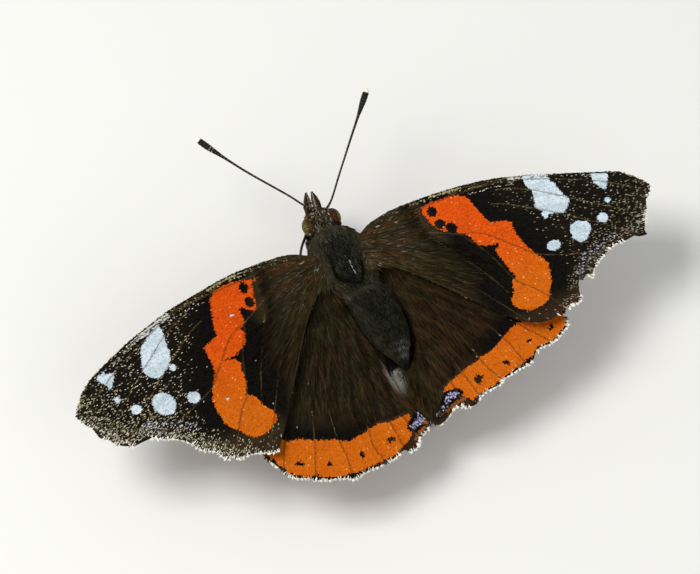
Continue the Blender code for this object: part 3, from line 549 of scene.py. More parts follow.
class Wing:
    """One wing's sheet: its outline, veins, markings and place in the world."""

    def __init__(self, name, relief):
        self.name = name
        self.is_forewing = name.startswith("fore")
        self.relief = relief
        self.side, root, dihedral, slope = WING_ROOTS[name]
        self.root = np.array(root) + SHIFT
        dihedral, slope = math.radians(dihedral), math.radians(slope)
        lifted = np.array([-self.side * math.sin(dihedral), 0, math.cos(dihedral)])
        level = np.array([0, 1.0, 0])
        self.outward = np.array([self.side * math.cos(dihedral), 0, math.sin(dihedral)])
        self.backward = level * math.cos(slope) - lifted * math.sin(slope)
        self.upward = lifted * math.cos(slope) + level * math.sin(slope)
        self.costa = smooth_line([*COSTA[name], MARGIN[name][0]], 0.5)
        self.margin = np.array(MARGIN[name])
        inner = smooth_line([MARGIN[name][-1], *INNER[name]], 0.5)
        kept, base = WING_BASES[name]
        long_inner = smooth_line([MARGIN[name][-1], *INNER[name][:kept], *base], 0.5)
        self.solid_outline = np.vstack([self.costa[:-1], self.margin[:-1], inner])
        self.outline = np.vstack([self.costa[:-1], self.margin[:-1], long_inner])
        self.centre = np.array([-2.8, 0.6]) if self.is_forewing else np.array([0.4, -2.6])
        self.fold_line = np.array(INNER[name]) if name == "hindwing_right" else None
        veins = FOREWING_VEINS if self.is_forewing else HINDWING_VEINS
        self.turn = HINDWING_RIGHT_TURN if name == "hindwing_right" else 0.0
        self.veins = [smooth_line(turned(vein, self.turn), 0.8) for vein in veins]
        self.vein_ends = np.array([vein[-1] for vein in self.veins])

    def vein_distance(self, places):
        """Distance to the nearest vein."""
        return np.min([distance_to_line(places, vein) for vein in self.veins], axis=0)

    def height(self, places):
        """Height of the sheet above the wing's plane, with its veins raised and folds between."""
        level = ARCH_HEIGHT * (1 - ((places[:, 0] - ARCH_SPAN) / ARCH_SPAN) ** 2)
        if not self.is_forewing:
            beyond = np.maximum(0, -signed_distance(places, self.solid_outline))
            if self.fold_line is None:
                level -= 0.9 * beyond
            else:
                near = distance_to_line(places, self.fold_line)
                under = (beyond > 0.02) & (places[:, 0] < 1.2) & (places[:, 1] < 16)
                near *= np.where(under, fall(places[:, 1], 1.0, 3.5), 1.0)
                level -= FOLD_DEPTH * fall(near, 0, FOLD_WIDTH)
        vein = self.vein_distance(places)
        ridge = np.exp(-(vein / 0.12) ** 2)
        trough = 1 - np.exp(-(vein / 0.9) ** 2)
        return level + self.relief * (ridge - 1.3 * trough)

    def world(self, places, lift):
        """World places, lifted off the middle of the sheet."""
        height = self.height(places) + lift
        return (self.root + places[:, :1] * self.outward + places[:, 1:2] * self.backward
                + height[:, None] * self.upward)

    def surface(self, places, lift, away):
        """World places on the sheet, their normals, and the direction of growth there."""
        probe = 0.04
        here = self.world(places, lift)
        beside = (self.world(places + (probe, 0), lift) - here) / probe
        behind = (self.world(places + (0, probe), lift) - here) / probe
        normal = np.cross(beside, behind) * self.side
        along = beside * away[:, :1] + behind * away[:, 1:2]
        return here, unit(normal), unit(along)

    def growth(self, places):
        """The direction that scales and hair point in: away from the wing base."""
        return unit(places - self.centre)

    def rows(self, row_gap, scale_gap, rng):
        """Staggered rows of scale roots round the wing base."""
        rows = []
        for index, radius in enumerate(np.arange(*ROW_RADII, row_gap)):
            gap = scale_gap / radius
            angles = np.arange(*ROW_ANGLES, gap) + gap * 0.5 * (index % 2)
            rows.append(np.stack([np.cos(angles), np.sin(angles)], axis=1) * radius)
        places = np.vstack(rows) + self.centre
        places += rng.normal(0, 0.12, places.shape) * (scale_gap, scale_gap)
        return places[signed_distance(places, self.outline) > 0.04]


def sweep(places):
    """The angle of each place round a point in front of the wing's root."""
    return np.arctan2(places[:, 1] + 2.6, places[:, 0] + 3.0)


def near_line(places, line, half):
    """1 on a line, falling to 0 past its half width."""
    return fall(distance_to_line(places, np.array(line)), half * 0.55, half * 1.45)


def markings(wing, places, rng):
    """What the wing materials read at each place. Distances are millimetres, shares are 0 to 1."""
    name = wing.name
    a, b = places[:, 0], places[:, 1]
    count = len(places)
    rim = distance_to_line(places, wing.margin)
    vein = wing.vein_distance(places)
    vein_end = np.min([np.hypot(a - x, b - y) for x, y in wing.vein_ends], axis=0)
    band = signed_distance(places, np.array(BANDS[name]))
    orange = np.minimum(band, -spot_distance(places, BAND_SPOTS[name]))
    white = np.full(count, FAR_OUTSIDE)
    rust, glow = np.zeros(count), np.ones(count)
    on_vein = np.exp(-(vein / 0.1) ** 2)
    if wing.is_forewing:
        for outline in WHITE_SHAPES[name]:
            white = np.maximum(white, signed_distance(places, np.array(outline)))
        white = np.maximum(white, spot_distance(places, WHITE_SPOTS[name]))
        before = np.interp(b, BAND_EDGE_B, BAND_INNER_A) - a
        after = a - np.interp(b, BAND_EDGE_B, BAND_OUTER_A)
        corner = rise(b, 14.0, 16.5) * rise(a, 8.0, 10.0)
        outer = rise(after, 1.0, 4.0)
        powdery = 1.1 if name == "forewing_left" else 0.6
        glow *= 1.0 if name == "forewing_left" else 0.6
        dust = 0.001 + powdery * (
            0.12 * outer + 0.17 * outer * fall(rim, 1.5, 5.0)
            + 0.2 * rise(after, 0.0, 2.0) * fall(rim, 0.4, 2.2))
        dust += 0.12 * corner * (powdery - 0.4)
        tone = (0.2 + 0.4 * rise(after, -1.0, 2.0) * rise(rim, 1.0, 6.0)
                + 0.3 * fall(rim, 0.6, 2.0))
        black_width = np.interp(b, BLACK_B, BLACK_WIDTH)
        brown = (rise(before, black_width, black_width + 2.2) + 0.8 * corner
                 + 0.35 * rise(after, 1.0, 3.0) * fall(rim, 0.2, 1.8) + 0.12 * outer)
        warm = (0.3 if name == "forewing_left" else 1.0) * corner
        dust = np.maximum(dust, 0.4 * on_vein * outer)
        tone = np.where(on_vein > 0.4, 0.1, tone)
        edge = distance_to_line(places, wing.costa)
        lines = 0.5 + 0.5 * np.cos(math.tau * edge / 0.3)
        for line, half, share, shade in FOREWING_STREAKS:
            near = near_line(places, line, half)
            dust = np.maximum(dust, near * share * (0.25 + 0.75 * lines))
            tone = tone * (1 - near) + shade * near
            glow = np.maximum(glow, near)
        for line, half, share in FOREWING_RUST:
            rust = np.maximum(rust, near_line(places, line, half) * share)
        blue = near_line(places, BLUE_LINE, 0.4)
        lilac = np.where(rng.random(count) < 0.1 * blue, 0.1, -0.5)
        dust = np.maximum(dust, 0.35 * blue * (name == "forewing_right"))
        tone = np.maximum(tone, 0.9 * blue)
    else:
        around = turned(places, -wing.turn)
        across, back = around[:, 0], around[:, 1]
        orange = np.minimum(orange, rim - 0.2 - 0.5 * np.exp(-(vein_end / 0.34) ** 2))
        lilac = np.maximum(signed_distance(places, np.array(LILAC_SHAPES[name])),
                           spot_distance(places, LILAC_BITS[name]))
        black = lilac + 0.36
        orange = np.minimum(orange, -black)
        lilac = lilac - 0.4 * (rng.random(count) < 0.3)
        front = -band
        side_part = rise(across, -1.0, 4.0)
        brown = 1 - fall(front, 0.6, 0.9 + 2.4 * side_part) * (0.3 + 0.7 * side_part)
        brown *= 1 - 0.6 * rise(across - 0.45 * back, 1.5, 5.0)
        brown = np.where(black > 0, 0.0, brown)
        warm = rise(back, 4.0, 11.0) * fall(np.abs(across - 1.5), 1.5, 5.5)
        warm = np.maximum(warm, 0.7 * (name == "hindwing_right") * rise(across, 0.0, 4.0))
        dust = 0.001 + 0.03 * on_vein + 0.05 * fall(rim, 0.2, 0.6)
        tone = np.full(count, 0.3)
        for line in CORNER_LINES[name]:
            rust = np.maximum(rust, 0.9 * near_line(places, line, 0.16))
        # The silky patch's scales are pale, partly their own colour and partly a painted sheen.
        shine = rise(spot_distance(places, SILKY_PATCHES[name]), -0.5, 0.4)
        dust = np.maximum(dust, 0.8 * shine)
        tone = tone * (1 - shine) + shine
    return {
        "orange": orange, "white": white, "lilac": lilac, "vein": vein,
        "brown": np.clip(brown, 0, 1), "warm": np.clip(warm, 0, 1), "dust": dust,
        "tone": np.clip(tone, 0, 1), "rust": rust, "glow": glow, "grain": rng.random(count),
        "fleck": rng.random(count), "reach": np.hypot(a, b), "sweep": sweep(places) * 12.0,
        "chord": b + CHORD_SHIFTS.get(name, 0.0),
    }


def make_mesh(name, points, faces, smooth=True):
    """A mesh from points in millimetres."""
    mesh = bpy.data.meshes.new(name)
    mesh.from_pydata((np.asarray(points) * MM).tolist(), [], faces)
    mesh.validate()
    if smooth:
        mesh.shade_smooth()
    return mesh


def show(name, mesh, material=None, nodes=()):
    """Puts a finished mesh in the scene on the butterfly's body, in place of its CAD nodes."""
    thing = bpy.data.objects.new(name, mesh)
    bpy.context.scene.collection.objects.link(thing)
    if material:
        mesh.materials.clear()
        mesh.materials.append(material)
    if nodes:
        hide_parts(*nodes)
    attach(thing, BODY)


def store(mesh, values):
    """Writes named values on the mesh's points."""
    for key, numbers in values.items():
        numbers = np.asarray(numbers, np.float32)
        if numbers.ndim == 2:
            attribute = mesh.attributes.new(key, "FLOAT_VECTOR", "POINT")
            attribute.data.foreach_set("vector", numbers.ravel())
        else:
            attribute = mesh.attributes.new(key, "FLOAT", "POINT")
            attribute.data.foreach_set("value", numbers)


def add(tree, kind, links=(), **settings):
    """Adds a node. Each link is (input name or number, value or output socket).

    A value that starts with # is an sRGB colour.
    """
    node = tree.nodes.new(kind)
    for key, value in settings.items():
        setattr(node, key, value)
    for key, value in links:
        if isinstance(value, bpy.types.NodeSocket):
            tree.links.new(value, node.inputs[key])
        elif isinstance(value, str) and value.startswith("#"):
            node.inputs[key].default_value = linear(value)
        else:
            node.inputs[key].default_value = value
    return node


def compute(tree, operation, first, second=0.0, third=0.0):
    """The result of a Math node."""
    node = add(tree, "ShaderNodeMath", [(0, first), (1, second), (2, third)], operation=operation)
    return node.outputs[0]


def times(tree, first, second):
    """One value times another."""
    return compute(tree, "MULTIPLY", first, second)


def new_growth(name, inputs, output):
    """A Geometry Nodes tree with named inputs (name, kind of socket, default)."""
    tree = bpy.data.node_groups.new(name, "GeometryNodeTree")
    for label, kind, default in inputs:
        item = tree.interface.new_socket(label, in_out="INPUT", socket_type="NodeSocket" + kind)
        if default is not None:
            item.default_value = default
    tree.interface.new_socket(output, in_out="OUTPUT", socket_type="NodeSocketGeometry")
    return tree, add(tree, "NodeGroupInput").outputs


def stored(tree, name, kind="FLOAT"):
    """A named value of the mesh, read in Geometry Nodes."""
    links = [("Name", name)]
    return add(tree, "GeometryNodeInputNamedAttribute", links, data_type=kind).outputs["Attribute"]


def planting_tree():
    """Geometry Nodes: one tuft or scale on each root, laid along its lie and made real."""
    tree, given = new_growth(PLANTING, (
        ("Roots", "Geometry", None), ("Tuft", "Object", None), ("Lift", "Float", 0.1),
        ("Lift Variation", "Float", 0.05), ("Spread", "Float", 0.1), ("Roll", "Float", 0.1),
        ("Seed", "Int", 1), ("Patch", "Float", 0.003), ("Material", "Material", None),
    ), "Coat")

    def vary(limit, offset):
        """A random number for each root between minus and plus the limit."""
        links = [(2, times(tree, limit, -1.0)), (3, limit),
                 ("Seed", compute(tree, "ADD", given["Seed"], offset))]
        return add(tree, "FunctionNodeRandomValue", links, data_type="FLOAT").outputs[1]

    def read(name):
        return stored(tree, name, "FLOAT_VECTOR")

    upright = add(tree, "FunctionNodeAlignRotationToVector", [("Vector", read("up"))], axis="Z")
    lying = add(tree, "FunctionNodeAlignRotationToVector",
                [("Rotation", upright.outputs[0]), ("Vector", read("lie"))],
                axis="Y", pivot_axis="Z")
    lift = compute(tree, "ADD", given["Lift"], vary(given["Lift Variation"], 11.0))
    angles = add(tree, "ShaderNodeCombineXYZ", [
        ("X", lift), ("Y", vary(given["Roll"], 23.0)), ("Z", vary(given["Spread"], 37.0))])
    tip = add(tree, "FunctionNodeEulerToRotation", [(0, angles.outputs[0])])
    final = add(tree, "FunctionNodeRotateRotation",
                [("Rotation", lying.outputs[0]), ("Rotate By", tip.outputs[0])],
                rotation_space="LOCAL")
    shape = add(tree, "GeometryNodeObjectInfo", [("Object", given["Tuft"])],
                transform_space="ORIGINAL")
    placed = add(tree, "GeometryNodeInstanceOnPoints", [
        ("Points", given["Roots"]), ("Instance", shape.outputs["Geometry"]),
        ("Rotation", final.outputs[0]), ("Scale", read("size"))])
    real = add(tree, "GeometryNodeRealizeInstances", [("Geometry", placed.outputs[0])]).outputs[0]
    inside_patch = add(tree, "ShaderNodeVectorMath",
                       [(0, read("tuft_patch")), ("Scale", given["Patch"])], operation="SCALE")
    spot = add(tree, "ShaderNodeVectorMath",
               [(0, inside_patch.outputs[0]), (1, read("root_patch"))], operation="ADD")
    mapped = add(tree, "GeometryNodeStoreNamedAttribute",
                 [("Geometry", real), ("Name", "OFBake"), ("Value", spot.outputs[0])],
                 data_type="FLOAT2", domain="CORNER").outputs[0]
    for name in ("up", "lie", "size", "tuft_patch", "root_patch"):
        mapped = add(tree, "GeometryNodeRemoveAttribute",
                     [("Geometry", mapped), ("Name", name)]).outputs[0]
    finished = add(tree, "GeometryNodeSetMaterial",
                   [("Geometry", mapped), ("Material", given["Material"])])
    add(tree, "NodeGroupOutput", [("Coat", finished.outputs[0])])
    return tree


def tube_tree():
    """Geometry Nodes: a round tube along a route, ringed once for each joint."""
    tree, given = new_growth(TUBE, (
        ("Route", "Geometry", None), ("Step", "Float", 0.0001), ("Joint Length", "Float", 0.0003),
        ("Joint Depth", "Float", 0.1), ("Sides", "Int", 12), ("Material", "Material", None),
    ), "Tube")
    line = add(tree, "GeometryNodeMeshToCurve", [("Mesh", given["Route"])]).outputs[0]
    line = add(tree, "GeometryNodeResampleCurve", [("Curve", line), ("Length", given["Step"])],
               mode="LENGTH").outputs[0]
    length = add(tree, "GeometryNodeSplineParameter").outputs["Length"]
    line = add(tree, "GeometryNodeStoreNamedAttribute",
               [("Geometry", line), ("Name", "along"), ("Value", length)],
               data_type="FLOAT", domain="POINT").outputs[0]
    turns = compute(tree, "DIVIDE", stored(tree, "along"), given["Joint Length"])
    narrow = times(tree, compute(tree, "FRACT", turns), given["Joint Depth"])
    radius = times(tree, compute(tree, "SUBTRACT", 1.0, narrow), stored(tree, "girth"))
    ring = add(tree, "GeometryNodeCurvePrimitiveCircle",
               [("Resolution", given["Sides"]), ("Radius", 1.0)]).outputs[0]
    skin = add(tree, "GeometryNodeCurveToMesh", [
        ("Curve", line), ("Profile Curve", ring), ("Scale", radius), ("Fill Caps", True)])
    round_skin = add(tree, "GeometryNodeSetShadeSmooth", [("Geometry", skin.outputs[0])])
    real = add(tree, "GeometryNodeRealizeInstances", [("Geometry", round_skin.outputs[0])])
    finished = add(tree, "GeometryNodeSetMaterial",
                   [("Geometry", real.outputs[0]), ("Material", given["Material"])])
    add(tree, "NodeGroupOutput", [("Tube", finished.outputs[0])])
    return tree


def grown(name, start, tree, inputs):
    """The plain mesh that a node tree makes from a starting mesh."""
    thing = bpy.data.objects.new(name + "_start", start)
    bpy.context.scene.collection.objects.link(thing)
    change = thing.modifiers.new("growth", "NODES")
    change.node_group = tree
    for item in tree.interface.items_tree:
        if item.item_type == "SOCKET" and item.in_out == "INPUT" and item.name in inputs:
            change[item.identifier] = inputs[item.name]
    graph = bpy.context.evaluated_depsgraph_get()
    mesh = bpy.data.meshes.new_from_object(
        thing.evaluated_get(graph), preserve_all_data_layers=True, depsgraph=graph)
    mesh.name = name
    thing.modifiers.remove(change)
    bpy.data.objects.remove(thing, do_unlink=True)
    return mesh


def group_named(name, maker):
    """A node group made once for the whole butterfly."""
    return bpy.data.node_groups.get(name) or maker()


def show_coat(name, roots, tuft, material, seed, lift, spread, roll=0.1, lift_variation=0.05):
    """Shows a coat of tufts.

    Roots holds place, up, lie, size and root_patch, and what the material reads.
    """
    cloud = bpy.data.meshes.new(name + "_roots")
    places = roots.pop("place")
    cloud.vertices.add(len(places))
    cloud.vertices.foreach_set("co", (places * MM).astype(np.float32).ravel())
    roots["size"] = roots["size"] * MM
    store(cloud, roots)
    mesh = grown(name, cloud, group_named(PLANTING, planting_tree), {
        "Tuft": tuft, "Lift": lift, "Lift Variation": lift_variation, "Spread": spread,
        "Roll": roll, "Seed": seed, "Material": material,
    })
    show(name, mesh)


def ring_faces(rings, sides):
    """Quads between neighbouring rings of points."""
    faces = []
    for ring in range(rings - 1):
        for side in range(sides):
            near, beside = ring * sides + side, ring * sides + (side + 1) % sides
            faces.append((near, near + sides, beside + sides, beside))
    return faces


def end_faces(rings, sides):
    """Fans that close the first and the last ring. Their two middles follow the rings' points."""
    faces, last = [], (rings - 1) * sides
    for side in range(sides):
        beside = (side + 1) % sides
        faces.append((rings * sides, side, beside))
        faces.append((rings * sides + 1, last + beside, last + side))
    return faces


def tuft_shape(name, rows, sides=0, bend=0.0):
    """A unit tuft along Y. Rows are (place along, half width, height). Sides 0 makes a plate."""
    points, faces = [], ring_faces(len(rows), sides)
    if sides:
        for along, half, height in rows:
            for side in range(sides):
                angle = math.tau * side / sides
                points.append((half * math.cos(angle), along,
                               height + bend * along**2 + half * math.sin(angle)))
        points.append((0, 1.0, rows[-1][2] + bend))
        last = (len(rows) - 1) * sides
        faces += [(last + side, len(points) - 1, last + (side + 1) % sides)
                  for side in range(sides)]
    else:
        for along, half, height in rows:
            points += [(-half, along, height), (half, along, height)]
        for row in range(len(rows) - 1):
            faces.append((2 * row, 2 * row + 1, 2 * row + 3, 2 * row + 2))
        points.append((0, 1.0, rows[-1][2]))
        faces.append((len(points) - 3, len(points) - 2, len(points) - 1))
    mesh = bpy.data.meshes.new(name)
    mesh.from_pydata(points, [], faces)
    mesh.shade_smooth()
    store(mesh, {"tuft_patch": [(x, y - 0.5, 0.0) for x, y, _ in points]})
    thing = bpy.data.objects.new(name, mesh)
    bpy.context.scene.collection.objects.link(thing)
    return thing


class ButterflyWings(bpy.types.PropertyGroup):
    """Sizes and colours of the wings."""

    thickness: bpy.props.FloatProperty(
        name="Membrane Thickness",
        description="Thickness of the bare wing membrane, in millimetres",
        default=0.10, min=0.02, max=0.4)
    relief: bpy.props.FloatProperty(
        name="Vein Height", description="How far a vein stands above the membrane, in millimetres",
        default=0.06, min=0.0, max=0.12)
    row_gap: bpy.props.FloatProperty(
        name="Row Gap", description="Distance between rows of scales, in millimetres",
        default=0.145, min=0.1, max=1.0)
    scale_gap: bpy.props.FloatProperty(
        name="Scale Gap", description="Distance between scales in a row, in millimetres",
        default=0.108, min=0.08, max=1.0)
    fringe: bpy.props.FloatProperty(
        name="Fringe Length",
        description="Length of the scales on the outer margin, in millimetres",
        default=0.52, min=0.1, max=1.0)
    black: bpy.props.FloatVectorProperty(
        name="Black", description="Black wing scales", subtype="COLOR", size=4,
        default=linear("#14110D"))
    brown: bpy.props.FloatVectorProperty(
        name="Brown", description="Dark brown scales near the body", subtype="COLOR", size=4,
        default=linear("#352B1A"))
    orange: bpy.props.FloatVectorProperty(
        name="Orange", description="Red-orange band near the leading edge", subtype="COLOR", size=4,
        default=linear("#CE4306"))
    amber: bpy.props.FloatVectorProperty(
        name="Amber", description="Yellower orange at the lower end of the bands", subtype="COLOR",
        size=4, default=linear("#C05F09"))
    white: bpy.props.FloatVectorProperty(
        name="White", description="Bluish white spots", subtype="COLOR", size=4,
        default=linear("#D4DFE6"))


class ButterflyHair(bpy.types.PropertyGroup):
    """Sizes and colours of the hair."""

    thorax_length: bpy.props.FloatProperty(
        name="Thorax Hair", description="Length of the hair on the thorax, in millimetres",
        default=0.95, min=0.2, max=3.0)
    abdomen_length: bpy.props.FloatProperty(
        name="Abdomen Hair", description="Length of the hair on the abdomen, in millimetres",
        default=0.55, min=0.1, max=2.0)
    coat_depth: bpy.props.FloatProperty(
        name="Coat Depth", description="How far the skin lies inside the solids, in millimetres",
        default=0.28, min=0.0, max=0.6)
    base: bpy.props.FloatVectorProperty(
        name="Dark Hair", description="Darkest olive-grey hair", subtype="COLOR", size=4,
        default=linear("#15160F"))
    tip: bpy.props.FloatVectorProperty(
        name="Pale Hair", description="Paler olive-grey hair", subtype="COLOR", size=4,
        default=linear("#3C3D30"))


class ButterflyHead(bpy.types.PropertyGroup):
    """Sizes and colours of the eyes and feelers."""

    facet: bpy.props.FloatProperty(
        name="Eye Facet",
        description="Width of an eye facet, in millimetres, coarser than life so that it shows",
        default=0.085, min=0.02, max=0.3)
    joint: bpy.props.FloatProperty(
        name="Feeler Joint", description="Length of one joint of an antenna, in millimetres",
        default=0.34, min=0.1, max=1.0)
    eye: bpy.props.FloatVectorProperty(
        name="Eye", description="Brown of the compound eyes", subtype="COLOR", size=4,
        default=linear("#422A10"))
    eye_rim: bpy.props.FloatVectorProperty(
        name="Eye Rim", description="Yellow-green outer rim of the eyes", subtype="COLOR", size=4,
        default=linear("#888436"))


class ButterflyStage(bpy.types.PropertyGroup):
    """The floor and light."""

    floor: bpy.props.FloatVectorProperty(
        name="Floor", description="Pale floor", subtype="COLOR", size=4, default=linear("#E9E8E3"))
    key: bpy.props.FloatProperty(
        name="Key Light", description="Power of the main soft light", subtype="POWER",
        default=1.3, min=0.0)
    fill: bpy.props.FloatProperty(
        name="Fill Light", description="Power of the overhead fill light", subtype="POWER",
        default=0.6, min=0.0)


SETTINGS = {
    "butterfly_wings": ButterflyWings, "butterfly_hair": ButterflyHair,
    "butterfly_head": ButterflyHead, "butterfly_stage": ButterflyStage,
}


def new_material(name, **sockets):
    """A material and its tree, with fixed values set on the surface shader."""
    material = bpy.data.materials.new(name)
    material.use_nodes = True
    tree = material.node_tree
    surface = tree.nodes["Principled BSDF"]
    for key, value in sockets.items():
        surface.inputs[key.replace("_", " ")].default_value = value
    return material, tree, surface


def mix(tree, factor, first, second):
    """A blend of two colours."""
    node = add(tree, "ShaderNodeMix", [(0, factor), (6, first), (7, second)], data_type="RGBA")
    return node.outputs[2]


def step_at(tree, value, low, high):
    """A ramp from 0 at low to 1 at high."""
    links = [("Value", value), ("From Min", low), ("From Max", high)]
    return add(tree, "ShaderNodeMapRange", links, interpolation_type="SMOOTHSTEP").outputs[0]


def attribute(tree, name):
    """A named value of the mesh, read in a material."""
    return add(tree, "ShaderNodeAttribute", attribute_name=name).outputs["Fac"]


def object_place(tree):
    """The place on the object, in metres."""
    return add(tree, "ShaderNodeTexCoord").outputs["Object"]


def noise(tree, place, scale, detail, distortion=0.0):
    """Soft noise between 0 and 1."""
    links = [("Vector", place), ("Scale", scale), ("Detail", detail), ("Distortion", distortion)]
    return add(tree, "ShaderNodeTexNoise", links).outputs[0]


def wing_scale_material(underside):
    """Butterfly wing scales: chitin plates, one colour each, so that the pattern is a mosaic.

    They are matt to silky, and each one is set a little askew, which gives the velvet look.
    The mosaic is drawn coarser than life.
    """
    props = bpy.context.scene.butterfly_wings
    material, tree, surface = new_material(
        SCALE_MATERIALS[underside], Roughness=0.75, Specular_IOR_Level=0.04)
    grain, fleck = attribute(tree, "grain"), attribute(tree, "fleck")
    ragged = compute(tree, "MULTIPLY_ADD", grain, 0.16, -0.08)
    lie = add(tree, "ShaderNodeCombineXYZ",
              [("X", attribute(tree, "sweep")), ("Y", attribute(tree, "reach"))]).outputs[0]
    streak, patchy = (
        noise(tree, add(tree, "ShaderNodeMapping", [("Vector", lie), ("Scale", scale)]).outputs[0],
              1.0, detail)
        for scale, detail in (((2.4, 0.22, 1.0), 4.0), ((0.5, 0.45, 1.0), 3.0)))

    def inside(name, wobble=1.0):
        """1 inside a marking and 0 outside it, with an edge that is ragged by a scale."""
        edge = compute(tree, "MULTIPLY_ADD", ragged, wobble, attribute(tree, name))
        return step_at(tree, edge, -0.03, 0.03)

    black = mix(tree, grain, "#060504", props.black)
    brown = mix(tree, attribute(tree, "warm"), props.brown, "#382215")
    brown = mix(tree, step_at(tree, streak, 0.3, 0.72), mix(tree, 0.5, brown, "#0E0A06"), brown)
    brown = mix(tree, times(tree, grain, 0.4), brown, "#4A3C26")
    dark = mix(tree, attribute(tree, "brown"), black, brown)
    rusty = compute(tree, "LESS_THAN", fleck, attribute(tree, "rust"))
    rusty = times(tree, rusty, compute(tree, "MULTIPLY_ADD", grain, 0.7, 0.3))
    dark = mix(tree, rusty, dark, "#9A5620")
    # A pale fleck is one scale. Most flecks are dim, and few are bright.
    dust = times(tree, attribute(tree, "dust"), compute(tree, "MULTIPLY_ADD", patchy, 2.4, -0.2))
    dim = compute(tree, "DIVIDE", fleck, compute(tree, "MAXIMUM", dust, 0.0001))
    bright = compute(tree, "SUBTRACT", 1.0, dim)
    bright = compute(tree, "POWER", compute(tree, "MAXIMUM", bright, 0.0), 1.05)
    pale = mix(tree, attribute(tree, "tone"), "#CDBE82", "#F2F3EA")
    pale = mix(tree, times(tree, grain, 0.25), pale, "#8C7A58")
    colour = mix(tree, times(tree, bright, attribute(tree, "glow")), dark, pale)
    # Bare vein shows through the thinner scales as a fine golden-brown line.
    near_vein = step_at(tree, attribute(tree, "vein"), 0.08, 0.03)
    bare = times(tree, near_vein, step_at(tree, streak, 0.35, 0.6))
    colour = mix(tree, times(tree, bare, 0.28), colour, "#7A643A")
    if underside:
        # The underside is marbled in cream, grey and brown, drawn coarser and plainer than life.
        marble = noise(tree, object_place(tree), 520.0, 5.0, distortion=1.6)
        marbled = mix(tree, step_at(tree, marble, 0.4, 0.56), "#2A211A", "#6A5844")
        marbled = mix(tree, step_at(tree, marble, 0.58, 0.66), marbled, "#A0937E")
        colour = mix(tree, 0.8, colour, marbled)
    shade = compute(tree, "MULTIPLY_ADD", grain, 0.3, -0.15)
    down = step_at(tree, compute(tree, "ADD", attribute(tree, "chord"), shade), 5.0, 14.5)
    band = mix(tree, down, props.orange, props.amber)
    band = mix(tree, times(tree, grain, 0.34), band, "#EA741F")
    band = mix(tree, times(tree, step_at(tree, grain, 0.35, 0.0), 0.4), band, "#983A04")
    band = mix(tree, times(tree, compute(tree, "LESS_THAN", fleck, 0.018), grain), band, "#F0A468")
    band = mix(tree, times(tree, step_at(tree, patchy, 0.48, 0.75), 0.3), band, "#A03A06")
    if underside:
        band = mix(tree, 0.35, band, "#C88A78")
    in_band = inside("orange")
    colour = mix(tree, in_band, colour, band)
    colour = mix(tree, inside("lilac"), colour, mix(tree, grain, "#443E4E", "#BCB8DA"))
    pearl = mix(tree, times(tree, step_at(tree, grain, 0.4, 1.0), 0.75), props.white, "#9DB0B6")
    pearl = mix(tree, times(tree, step_at(tree, streak, 0.44, 0.66), 0.32), pearl, "#8FA2A8")
    in_white = inside("white", 0.5)
    colour = mix(tree, in_white, colour, pearl)
    marked = compute(tree, "MAXIMUM", in_white, in_band)
    colour = mix(tree, times(tree, near_vein, times(tree, marked, 0.65)), colour, "#4A2E12")
    tree.links.new(colour, surface.inputs["Base Color"])
    return material


def fringe_material():
    """Fringe scales: long white chitin scales, brown-black where a vein meets the margin."""
    material, tree, surface = new_material("fringe scales", Roughness=0.6, Specular_IOR_Level=0.2)
    white = mix(tree, attribute(tree, "grain"), "#FFFDF2", "#DAD6C4")
    dark = mix(tree, attribute(tree, "grain"), "#14100B", "#4A3A28")
    colour = mix(tree, attribute(tree, "dark"), white, dark)
    tree.links.new(colour, surface.inputs["Base Color"])
    return material


def hair_material(name, base, tip, side, pale):
    """Insect hair: fine dull chitin bristles. Each is one colour, from dark to brown or pale."""
    material, tree, surface = new_material(name, Roughness=0.85, Specular_IOR_Level=0.02)
    colour = mix(tree, step_at(tree, attribute(tree, "grain"), 0.25, 1.0), base, tip)
    colour = mix(tree, attribute(tree, "side"), colour, side)
    colour = mix(tree, attribute(tree, "paint"), colour, pale)
    colour = mix(tree, attribute(tree, "shade"), colour, "#050403")
    tree.links.new(colour, surface.inputs["Base Color"])
    return material


def cuticle(name, dark, pale, scale, **sockets):
    """Bare insect cuticle: tanned chitin, uneven in colour where it is thicker or thinner."""
    material, tree, surface = new_material(name, Specular_IOR_Level=0.2, **sockets)
    spots = step_at(tree, noise(tree, object_place(tree), scale, 2.0), 0.42, 0.7)
    tree.links.new(mix(tree, spots, dark, pale), surface.inputs["Base Color"])
    return material


def membrane_mesh(wing, thickness):
    """The bare wing: a thin closed sheet with its veins raised, split alike on both faces."""
    step = SHEET_STEP
    line = [wing.outline[0]]
    for place in wing.outline[1:]:
        if math.dist(place, line[-1]) > 0.22:
            line.append(place)
    line = np.array(line)
    low, high = line.min(axis=0), line.max(axis=0)
    columns = np.arange(low[0], high[0], step)
    rows = np.arange(low[1], high[1], step * 0.87)
    fill = np.array([(x + step / 2 * (i % 2), y) for i, y in enumerate(rows) for x in columns])
    fill = fill[signed_distance(fill, line) > 0.25]
    count = len(line)
    edges = [(i, (i + 1) % count) for i in range(count)]
    found = delaunay_2d_cdt(
        [Vector(p) for p in [*line, *fill]], edges, [list(range(count))], 1, 1e-6)
    places, triangles = np.array([tuple(p) for p in found[0]]), found[2]
    total = len(places)
    sheets = [wing.world(places, lift * thickness / 2) for lift in (1, -1)]
    faces = [tuple(t) for t in triangles]
    faces += [tuple(total + i for i in reversed(t)) for t in triangles]
    directed = {(a, b) for t in triangles for a, b in zip(t, [*t[1:], t[0]])}
    faces += [(b, a, a + total, b + total) for a, b in directed if (b, a) not in directed]
    if wing.side < 0:
        faces = [tuple(reversed(face)) for face in faces]
    return make_mesh(wing.name + "_skin", np.vstack(sheets), faces), places


def all_wings():
    """The four wings with the vein height that is set."""
    relief = bpy.context.scene.butterfly_wings.relief
    return [Wing(name, relief) for name in WING_ROOTS]


